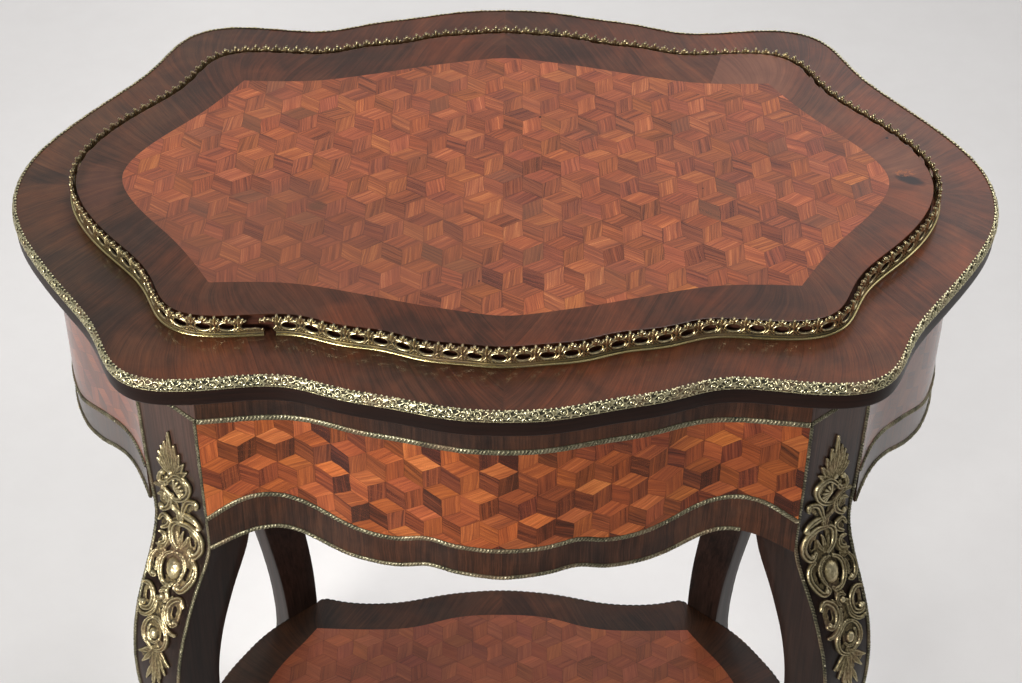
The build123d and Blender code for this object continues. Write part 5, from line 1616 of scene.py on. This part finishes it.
MOUNT = (
    ("leaf", 3.0, ((-1.4, 136.0), (-4.8, 122.0), (-5.6, 107.0))), ("leaf", 3.0, ((0.4, 136.0), (4.2, 120.0), (6.0, 104.5))),
    ("leaf", 3.1, ((-0.8, 136.0), (-0.3, 118.0), (0.6, 93.9))),
    ("leaf", 2.9, ((-3.0, 137.5), (-7.4, 126.2), (-10.6, 114.4))), ("leaf", 2.9, ((1.2, 136.7), (6.9, 124.0), (10.6, 112.0))),
    ("leaf", 2.8, ((-4.0, 138.0), (-10.0, 131.0), (-14.6, 122.4))), ("leaf", 2.8, ((1.8, 136.8), (9.4, 127.8), (14.8, 119.2))),
    ("leaf", 2.6, ((-4.6, 139.4), (-11.0, 136.6), (-17.0, 131.0))), ("leaf", 2.6, ((2.4, 137.6), (11.0, 132.4), (17.2, 126.6))),
    ("bead", 2.8, ((-12.5, 143.3),)), ("bead", 2.9, ((-1.8, 137.6),)),
    ("scroll", 2.1, ((-16.0, 146.1), (-17.9, 156.8), (-10.5, 154.8), (-8.5, 147.0))),
    ("scroll", 2.2, ((-11.0, 155.5), (-1.3, 142.9), (10.6, 136.2), (17.5, 139.5), (16.4, 149.4), (7.2, 161.9), (-4.0, 167.6), (-10.1, 164.4))),
    ("shell", 5.6, ((-0.4, 154.6), (5.4, 152.4))), ("scroll", 1.6, ((5.4, 139.0), (13.1, 138.2), (15.6, 145.1))),
    ("scroll", 2.2, ((-24.6, 163.9), (-15.6, 162.5), (-8.9, 166.8), (-9.5, 176.8), (-16.7, 187.6), (-22.6, 190.7), (-23.6, 187.3))),
    ("bead", 2.8, ((-21.2, 188.1),)), ("scroll", 1.7, ((-22.7, 174.2), (-15.6, 170.4), (-13.2, 176.2))), ("scroll", 1.9, ((-8.8, 173.2), (-5.4, 180.6), (1.8, 182.9), (1.5, 191.7))),
    ("leaf", 2.8, ((6.2, 176.0), (11.8, 162.6), (23.0, 154.7))), ("scroll", 2.0, ((2.4, 184.9), (9.0, 169.3), (17.7, 158.1), (24.7, 156.3), (24.4, 161.3))),
    ("scroll", 2.8, ((4.6, 180.3), (13.9, 179.2), (20.6, 181.0), (23.6, 184.4))), ("bead", 2.6, ((22.0, 186.0),)), ("leaf", 3.0, ((-0.9, 183.7), (-1.2, 194.5))),
    ("scroll", 2.0, ((-25.4, 204.6), (-19.4, 196.8), (-14.2, 198.4), (-15.9, 206.2), (-21.2, 210.4))),
    ("scroll", 2.4, ((-4.6, 196.1), (-9.9, 201.4), (-11.2, 209.1), (-7.6, 216.4), (-1.5, 219.6))),
    ("scroll", 3.0, ((-1.6, 194.6), (9.6, 191.4), (19.5, 193.4), (24.0, 201.0), (22.8, 211.3), (16.2, 217.6), (12.6, 215.4))),
    ("leaf", 1.8, ((1.9, 218.1), (0.8, 210.0), (2.6, 202.2))), ("leaf", 1.5, ((2.4, 217.2), (6.2, 210.8), (8.1, 204.2))), ("leaf", 1.5, ((1.0, 217.9), (-3.6, 212.6), (-5.3, 206.0))),
    ("scroll", 1.8, ((-23.1, 215.5), (-17.6, 215.7), (-16.1, 220.6), (-20.9, 224.3))), ("leaf", 2.3, ((-12.8, 214.5), (-17.4, 225.8), (-23.4, 231.3))),
    ("scroll", 2.2, ((23.5, 198.1), (24.6, 204.9), (22.0, 214.0), (17.1, 218.2), (14.2, 216.1))), ("bead", 2.2, ((16.3, 215.6),)),
    ("scroll", 1.8, ((-22.5, 231.8), (-25.4, 237.2), (-25.7, 243.1), (-23.6, 248.4), (-19.0, 251.0), (-15.9, 249.6))), ("bead", 2.2, ((-18.6, 248.8),)),
    ("leaf", 1.9, ((-14.6, 224.0), (-20.4, 227.0), (-24.6, 227.0))), ("leaf", 1.9, ((-13.9, 227.6), (-17.8, 230.5), (-21.8, 230.6))),
    ("boss", 8.0, ((0.0, 235.2), (0.4, 237.6))),
    ("scroll", 1.9, ((-5.6, 225.1), (-11.5, 229.8), (-13.6, 236.3), (-12.6, 242.9), (-9.2, 248.4), (-4.0, 251.2), (1.3, 250.6))),
    ("scroll", 2.2, ((14.9, 221.6), (21.2, 223.5), (24.0, 229.6), (22.4, 237.7), (17.8, 245.6), (12.2, 249.8), (7.8, 248.8), (9.0, 245.6))),
    ("scroll", 1.5, ((-1.2, 223.7), (7.1, 224.0), (11.6, 228.8), (11.8, 236.6), (9.4, 242.4))), ("bead", 2.3, ((11.0, 247.9),)), ("leaf", 2.2, ((2.9, 248.4), (-1.1, 252.9), (-6.3, 256.4))),
    ("scroll", 1.3, ((-16.4, 233.4), (-17.6, 239.4), (-16.4, 245.2))),
    ("bead", 3.0, ((-3.0, 261.5),)), ("scroll", 1.5, ((-6.8, 259.1), (0.1, 255.9), (2.6, 259.2), (0.8, 264.4))), ("leaf", 2.0, ((-3.4, 263.3), (-8.4, 266.0), (-9.8, 269.9))), ("leaf", 1.8, ((-0.4, 264.2), (4.6, 261.5), (7.5, 256.6))),
    ("scroll", 2.2, ((-26.2, 260.6), (-20.0, 258.8), (-14.2, 261.9), (-11.6, 267.1), (-12.5, 274.4), (-17.5, 279.5), (-22.7, 279.8), (-23.8, 275.9))), ("bead", 2.6, ((-21.2, 275.6),)),
    ("scroll", 1.6, ((-24.8, 285.6), (-19.3, 285.9), (-12.5, 281.8), (-8.3, 276.2), (-7.2, 268.7))),
    ("scroll", 2.2, ((21.4, 258.9), (17.2, 255.1), (11.0, 257.9), (6.5, 263.9), (5.9, 271.2), (9.3, 276.9), (14.6, 278.6), (18.4, 275.4))), ("bead", 2.2, ((16.0, 274.8),)),
    ("scroll", 1.6, ((1.3, 267.6), (3.1, 275.2), (6.7, 281.9), (12.8, 285.7), (19.4, 285.6))),
    ("scroll", 1.9, ((-8.6, 282.9), (-13.4, 288.5), (-15.8, 296.4), (-14.3, 304.6), (-9.2, 308.8), (-4.6, 311.3))), ("scroll", 1.9, ((-8.6, 282.9), (-1.0, 281.1), (5.4, 284.6), (10.3, 290.2), (11.2, 297.4), (7.6, 305.6), (0.6, 310.6))),
    ("boss", 4.5, ((-3.8, 295.2), (-3.4, 296.7))), ("scroll", 1.3, ((-9.6, 291.0), (-10.2, 297.6), (-6.6, 303.6), (-1.6, 303.4), (2.8, 298.6))), ("bead", 1.7, ((-11.4, 306.2),)),
    ("leaf", 2.8, ((0.6, 304.4), (-0.6, 315.4), (-4.0, 331.1))), ("leaf", 2.3, ((2.3, 306.2), (8.2, 313.5), (16.4, 319.0))), ("leaf", 2.3, ((1.6, 309.8), (6.0, 321.0), (11.6, 331.0))),
    ("leaf", 2.3, ((-2.6, 309.2), (-11.5, 317.6), (-20.4, 323.9))), ("leaf", 2.3, ((-2.8, 312.9), (-10.4, 324.9), (-16.6, 333.6))), ("leaf", 2.3, ((0.2, 312.0), (3.2, 326.0), (5.6, 339.0))),
    ("leaf", 2.4, ((-0.6, 322.6), (-2.1, 339.1), (-5.2, 356.0))), ("leaf", 2.0, ((-2.7, 326.8), (-8.4, 340.4), (-13.0, 351.0))), ("leaf", 1.9, ((0.0, 326.1), (2.8, 337.7), (3.4, 348.4))),
)
mr = Relief(-27.5, 27.5, 74.0, 374.0, 0.6)
for rad, pts in BASES:
    mr.stroke(pts, [rad, rad * 0.94], 0.80, "plate")
for rads, pts in HOLES:
    mr.hole(pts, rads)
for kind, half_w, pts in MOUNT:
    pts = [(x, y) for x, y in pts]
    if kind == "leaf":
        mr.stroke(pts, [half_w * 0.75, half_w * 1.25, half_w * 0.35], 3.0, "leaf")
    elif kind == "scroll":
        mr.stroke(pts, [half_w * 0.70, half_w * 1.15, half_w * 1.15, half_w * 0.80], 3.3, "scroll")
    elif kind == "bead":
        mr.stroke(pts, [half_w], 4.1, "round")
    elif kind == "shell":
        (ax_, ay_), (bx_, by_) = pts
        for a_ in np.linspace(-1.15, 1.15, 7):
            dx_, dy_ = bx_ - ax_, by_ - ay_
            L_ = math.hypot(dx_, dy_)
            ux, uy = dx_ / L_, dy_ / L_
            ex_, ey_ = ux * math.cos(a_) - uy * math.sin(a_), ux * math.sin(a_) + uy * math.cos(a_)
            mr.stroke([(ax_, ay_), (ax_ + ex_ * half_w * 1.7, ay_ + ey_ * half_w * 1.7)], [0.7, 1.35], 3.1, "round")
    else:
        mr.stroke(pts, [half_w, half_w * 0.97], 4.6, "boss")
mr.rough(0.13, 5)
mv, mf, mh = mr.plate(edge=0.45, back=0.0, back_relief=0.0, hmax=3.1)
r0_, _, _ = leg_at(mv[:, 1])
slope = (leg_at(mv[:, 1] + 1.0)[0] - leg_at(mv[:, 1] - 1.0)[0]) / 2.0
L_ = np.sqrt(1 + slope ** 2)
hgt = np.where(np.arange(len(mv)) < len(mv) // 2, mv[:, 2] + 0.08, 0.05)
PM = leg_point(r0_ + hgt / L_, mv[:, 0], TOP_Z - mv[:, 1] + hgt * slope / L_)
for which in CORNERS:
    Q, fl = corner(PM, which)
    # grid x runs with +t and grid y downwards, which makes the front face inwards
    pile = Pile()
    pile.add(Q, flip_faces(mf, not fl), None, mh)
    pile.make("knee_chute_" + which, "table", mat_mount, slot="gilt_mounts", replaces=("knee_mount_" + which,), sharp=None)

# ---------------------------------------------------------------------------
# shoes: cast acanthus sabots
# ---------------------------------------------------------------------------
ds = np.linspace(TOP_Z - SABOT_H - 6.0, TOP_Z - 0.0, 44)
base_n, base_t = leg_section(np.minimum(ds, 770.0), 0.0, 3.0)
base_n, base_t = densify(base_n, 9), densify(base_t, 9)
m = base_n.shape[1]
cn, ct = base_n.mean(1, keepdims=True), base_t.mean(1, keepdims=True)
per = np.linspace(0, 1, m, endpoint=False)[None, :]
zrel = (TOP_Z - ds)[:, None]
lobes = np.abs(np.sin(per * np.pi * 8))
tip = SABOT_H - 9.0 + 13.0 * lobes ** 0.7
ribs = 0.5 + 0.5 * np.cos(per * 2 * np.pi * 24)
fade = np.clip((tip - zrel) / 3.0, 0, 1)
g = 1.5 + 1.1 * ribs * np.clip(zrel / 12, 0.2, 1) + 1.3 * np.exp(-((zrel - 7) / 4.0) ** 2) + 0.8 * np.exp(-(zrel / 3.0) ** 2)
g = g * np.clip(fade + 0.15, 0, 1)
dirn, dirt = base_n - cn, base_t - ct
dl = np.sqrt(dirn ** 2 + dirt ** 2)
on, ot = base_n + dirn / dl * g, base_t + dirt / dl * g
zo = np.minimum(zrel * np.ones((1, m)), tip)
inn_, int_ = base_n - dirn / dl * 0.3, base_t - dirt / dl * 0.3
outer_shell = leg_point(on, ot, zo)
inner_shell = leg_point(inn_, int_, zo)
Psh = np.concatenate([inner_shell[::-1][:-1], outer_shell], 0)
# walk: bottom inside -> top inside -> top outside -> bottom outside
hs = np.concatenate([np.zeros((len(ds) - 1, m)), np.clip((g - 1.2) / 2.4, 0, 1) * np.ones_like(zo)], 0)
for which in CORNERS:
    Q, fl = corner(Psh, which)
    n = Q.shape[0]
    f = grid_faces(n, m, False, True)
    ring = np.stack([np.arange(m), (np.arange(m) + 1) % m], 1)
    close = np.stack([ring[:, 1], ring[:, 0], ring[:, 0] + (n - 1) * m, ring[:, 1] + (n - 1) * m], 1)
    pile = Pile()
    pile.add(Q, flip_faces([f, close], not fl), None, hs)
    pile.make("acanthus_sabot_" + which, "table", mat_mount, slot="gilt_mounts", replaces=("sabot_" + which,), sharp=None)

# ---------------------------------------------------------------------------
# shelf
# ---------------------------------------------------------------------------
shelf_loop, shelf_runs = four_fold(SHELF_BACK, SHELF_SIDE, 1.2)
shelf_fld, _ = four_fold(SHELF_FIELD, SHELF_FIELD_SIDE, 1.2)
shelf_rs, _, _ = resample(shelf_loop, 1.3)
shelf_in = match_loop(shelf_rs, shelf_fld, 41)
band_ring("shelf_crossbanding_veneer", shelf_rs, shelf_in, SZ, VENEER, "table", mat_shelfring, 250.0, "crossbanding",
          ("shelf_crossbanding",), rows=9, number=6.0, arris=0.2)
field_plate("shelf_parquetry_field", shelf_fld, SZ + 0.02, VENEER, "table", mat_par_shelf, "parquetry", ("shelf_parquetry",), 7.0)
mm_ = len(shelf_rs)
P = np.stack([lift(shelf_rs, SZ - SHELF_T), lift(shelf_rs, SZ - VENEER)], 1)
G = np.stack([np.broadcast_to(arclen(shelf_rs, True)[:-1][:, None], P.shape[:2]), P[..., 2], np.full(P.shape[:2], 9.0)], -1)
pile = Pile()
pile.add(P, [grid_faces(mm_, 2, True, False), (np.arange(mm_) * 2 + 1)[None, :], (np.arange(mm_) * 2)[None, ::-1]], G)
pile.make("shelf_core", "table", mat_edge, slot="carcase_wood", replaces=("shelf_board",))

sm = Pile()
for run in shelf_runs:
    q, s, L = resample(run[::-1], 0.9, closed=False)
    nn = normals2(q, False)
    npit = max(4, int(round(L / 6.6)))
    ph = s / L * npit
    v = np.linspace(0, 1, 11)
    prof_o = 0.5 + 1.5 * np.sin(np.pi * v) ** 0.7
    lobe = np.abs(np.sin(np.pi * ph[:, None] + 0.35 * v[None, :]))
    off = prof_o[None, :] * (0.45 + 0.65 * lobe ** 0.8)
    ztop = SZ + 0.8 - 0.9 * (1 - lobe[:, -1]) ** 2
    F = np.zeros((len(q), 11, 3))
    F[..., :2] = q[:, None, :] + nn[:, None, :] * off[..., None]
    F[..., 2] = (SZ - 8.0) + (ztop[:, None] - (SZ - 8.0)) * v[None, :]
    back = np.stack([lift(q + nn * 0.02, SZ + 0.4), lift(q + nn * 0.02, SZ - 8.0)], 1)
    P = np.concatenate([F, back], 1)
    H = np.concatenate([np.clip(lobe * np.sin(np.pi * v)[None, :] * 1.1, 0, 1), np.zeros((len(q), 2))], 1)
    sm.loft(P, cu=False, cv=True, hh=H)
mat_shelf_edge = brass_material("shelf_edge_brass", bright=(0.26, 0.21, 0.125), body=(0.075, 0.060, 0.038), mid=(0.035, 0.028, 0.020), dark=(0.012, 0.010, 0.008), lo=0.2, hi=1.25, rough=0.5)
sm.make("shelf_edge_casting", "table", mat_shelf_edge, slot="brass_trim", replaces=("shelf_edge_moulding",), sharp=None)

# ---------------------------------------------------------------------------
# CAD nodes that stay, with better materials
# ---------------------------------------------------------------------------
KEEP = {
    "frieze_rail_front": mat_carcase, "frieze_rail_back": mat_carcase, "frieze_rail_left": mat_carcase, "frieze_rail_right": mat_carcase,
    "glue_blocks": mat_carcase, "well_bearers": mat_carcase, "well_walls": mat_lining, "well_floor": mat_lining,
    "well_dividers": mat_lining, "lid_locating_frame": mat_frame, "mirror_bead": mat_polish, "lid_mirror": mat_mirror,
    "shelf_dowels": mat_beech,
}
for name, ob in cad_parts.items():
    if ob.hide_render:
        continue
    mat = KEEP.get(name, mat_carcase)
    ob.data.materials.clear()
    ob.data.materials.append(mat)
    if name == "mirror_bead":
        a = ob.data.attributes.new("hh", "FLOAT", "POINT")
        a.data.foreach_set("value", np.full(len(ob.data.vertices), 0.75, np.float32))

# ---------------------------------------------------------------------------
# floor, light, camera
# ---------------------------------------------------------------------------
fm = Mat("pale_floor")
n1 = fm.noise(fm.vm("SCALE", fm.obj(), 1.1), 3.0, 0.5)
n2 = fm.noise(fm.vm("SCALE", fm.obj(), 22.0), 3.0, 0.6)
pale = fm.ramp(fm.math("ADD", fm.math("MULTIPLY", n1, 0.75), fm.math("MULTIPLY", n2, 0.25)), [(0.35, (0.82, 0.80, 0.785)), (0.65, (0.88, 0.865, 0.85))])
fx_, fy_, fz_ = fm.sep(fm.obj())
# the floor colour is darker in front of the table and a little darker far to the left; the brighter disc under the
# table is painted light where the table's shadow falls, and the brighter patch behind on the left is a painted pool of
# light
floor_light_tone = fm.maprange(fy_, -1.0, -0.10, 0.40, 1.0, smooth=True)
rr_ = fm.math("ADD", fm.math("MULTIPLY", fx_, fx_), fm.math("MULTIPLY", fm.math("SUBTRACT", fy_, 0.10), fm.math("SUBTRACT", fy_, 0.10)))
floor_light_tone = fm.math("MULTIPLY", floor_light_tone, fm.maprange(rr_, 0.06, 0.24, 1.09, 0.81, smooth=True))
floor_light_tone = fm.math("MULTIPLY", floor_light_tone, fm.maprange(fx_, -0.75, -0.35, 0.96, 1.0, smooth=True))
far_left_light = fm.math("MULTIPLY", fm.maprange(fy_, 0.35, 0.80, 0.0, 0.10, smooth=True), fm.maprange(fx_, -0.10, -0.50, 0.0, 1.0, smooth=True))
floor_light_tone = fm.math("MULTIPLY", floor_light_tone, fm.math("ADD", far_left_light, 1.0))
fm.link(fm.mix(1.0, pale, fm.comb(floor_light_tone, floor_light_tone, floor_light_tone), "MULTIPLY"), fm.b.inputs["Base Color"])
fm.link(fm.bump(n2, 0.15, 1.5), fm.b.inputs["Normal"])
fm.b.inputs["Roughness"].default_value = 0.9
fm.b.inputs["Specular IOR Level"].default_value = 0.1
me = bpy.data.meshes.new("studio_floor")
R = 9.0
aa = np.linspace(0, 2 * np.pi, 96, endpoint=False)
me.from_pydata([(R * math.cos(t), R * math.sin(t), -0.0005) for t in aa], [], [list(range(96))])
me.materials.append(fm.m)
floor = bpy.data.objects.new("studio_floor", me)
bpy.context.scene.collection.objects.link(floor)

world = bpy.data.worlds.new("studio")
bpy.context.scene.world = world
world.use_nodes = True
wt = world.node_tree
bg = wt.nodes["Background"]
tc = wt.nodes.new("ShaderNodeTexCoord")
sp = wt.nodes.new("ShaderNodeSeparateXYZ")
wt.links.new(tc.outputs["Generated"], sp.inputs[0])
def wramp(sock, lo, hi, stops):
    m_ = wt.nodes.new("ShaderNodeMapRange")
    m_.inputs[1].default_value, m_.inputs[2].default_value = lo, hi
    wt.links.new(sock, m_.inputs[0])
    r_ = wt.nodes.new("ShaderNodeValToRGB")
    el = r_.color_ramp.elements
    while len(el) < len(stops):
        el.new(0.5)
    for k_, (p_, v_) in zip(el, stops):
        k_.position, k_.color = (p_ - lo) / (hi - lo), (v_, v_, v_ * 1.01, 1)
    wt.links.new(m_.outputs[0], r_.inputs[0])
    return r_.outputs[0]


def wmul(a, b):
    n_ = wt.nodes.new("ShaderNodeMix")
    n_.data_type, n_.blend_type = "RGBA", "MULTIPLY"
    n_.inputs[0].default_value = 1.0
    wt.links.new(a, n_.inputs[6])
    wt.links.new(b, n_.inputs[7])
    return n_.outputs[2]


# a pale studio sweep low down behind, darker overhead and in front
by_height = wramp(sp.outputs[2], -1.0, 1.0, ((-1.0, 0.10), (0.0, 0.16), (0.30, 0.17), (0.50, 0.20), (0.60, 0.13), (0.65, 0.06), (0.70, 0.09), (0.78, 0.18), (1.0, 0.17)))
by_depth = wramp(sp.outputs[1], -1.0, 1.0, ((-1.0, 0.15), (-0.25, 0.22), (0.25, 0.90), (1.0, 1.0)))
by_side = wramp(sp.outputs[0], -1.0, 1.0, ((-1.0, 0.30), (-0.30, 0.43), (-0.18, 0.43), (-0.08, 0.26), (0.0, 0.25), (0.08, 0.38), (0.20, 1.0), (0.34, 1.0), (0.55, 0.38), (1.0, 0.27)))
wt.links.new(wmul(wmul(by_height, by_depth), by_side), bg.inputs[0])
bg.inputs[1].default_value = 9.0


def area(name, loc, target, size, power, colour=(1, 1, 1)):
    L = bpy.data.lights.new(name, "AREA")
    L.shape = "RECTANGLE"
    L.size, L.size_y = size
    L.energy = power
    L.color = colour
    o = bpy.data.objects.new(name, L)
    o.location = loc
    o.rotation_mode = "QUATERNION"
    o.rotation_quaternion = (Vector(target) - Vector(loc)).to_track_quat("-Z", "Y")
    bpy.context.scene.collection.objects.link(o)
    return o


area("key_left", (-1.45, -2.1, 1.15), (0, 0, 0.70), (0.9, 0.7), 50, (1.0, 0.975, 0.935))
area("key_right", (1.8, -2.5, 1.60), (0, 0, 0.62), (1.0, 0.8), 2.5, (1.0, 0.98, 0.95))
area("top_soft", (0.75, 0.8, 4.1), (0, 0.35, 0.3), (1.5, 1.2), 34, (1.0, 0.99, 0.975))
area("side_right", (3.2, 0.9, 2.4), (0, 0.2, 0.2), (1.4, 1.2), 9, (1.0, 0.99, 0.975))
back = area("back_sweep", (-0.2, 3.0, 3.0), (-0.1, 0.2, 0.0), (1.6, 1.0), 15, (1.0, 0.99, 0.98))
back.data.spread = math.radians(80)
back.visible_glossy = False

cam_data = bpy.data.cameras.new("photo_camera")
cam_data.sensor_width = 36.0
cam_data.sensor_fit = "HORIZONTAL"
cam_data.lens = 2130.4155 / 1022.0 * 36.0
cam_data.clip_start, cam_data.clip_end = 0.05, 60.0
cam = bpy.data.objects.new("photo_camera", cam_data)
bpy.context.scene.collection.objects.link(cam)
pitch, yaw, roll = math.radians(40.0), 0.0044207, -0.0083476
cy_, sy_, cp, sp_ = math.cos(yaw), math.sin(yaw), math.cos(pitch), math.sin(pitch)
fwd = Vector((sy_ * cp, cy_ * cp, -sp_))
right = Vector((cy_, -sy_, 0))
down = fwd.cross(right)
r2 = right * math.cos(roll) + down * math.sin(roll)
d2 = -right * math.sin(roll) + down * math.cos(roll)
M4 = Matrix((( r2[0], -d2[0], -fwd[0], -0.00003), (r2[1], -d2[1], -fwd[1], -1.41674), (r2[2], -d2[2], -fwd[2], 1.79594), (0, 0, 0, 1)))
cam.matrix_world = M4
bpy.context.scene.camera = cam
bpy.context.scene.view_settings.view_transform = "Standard"
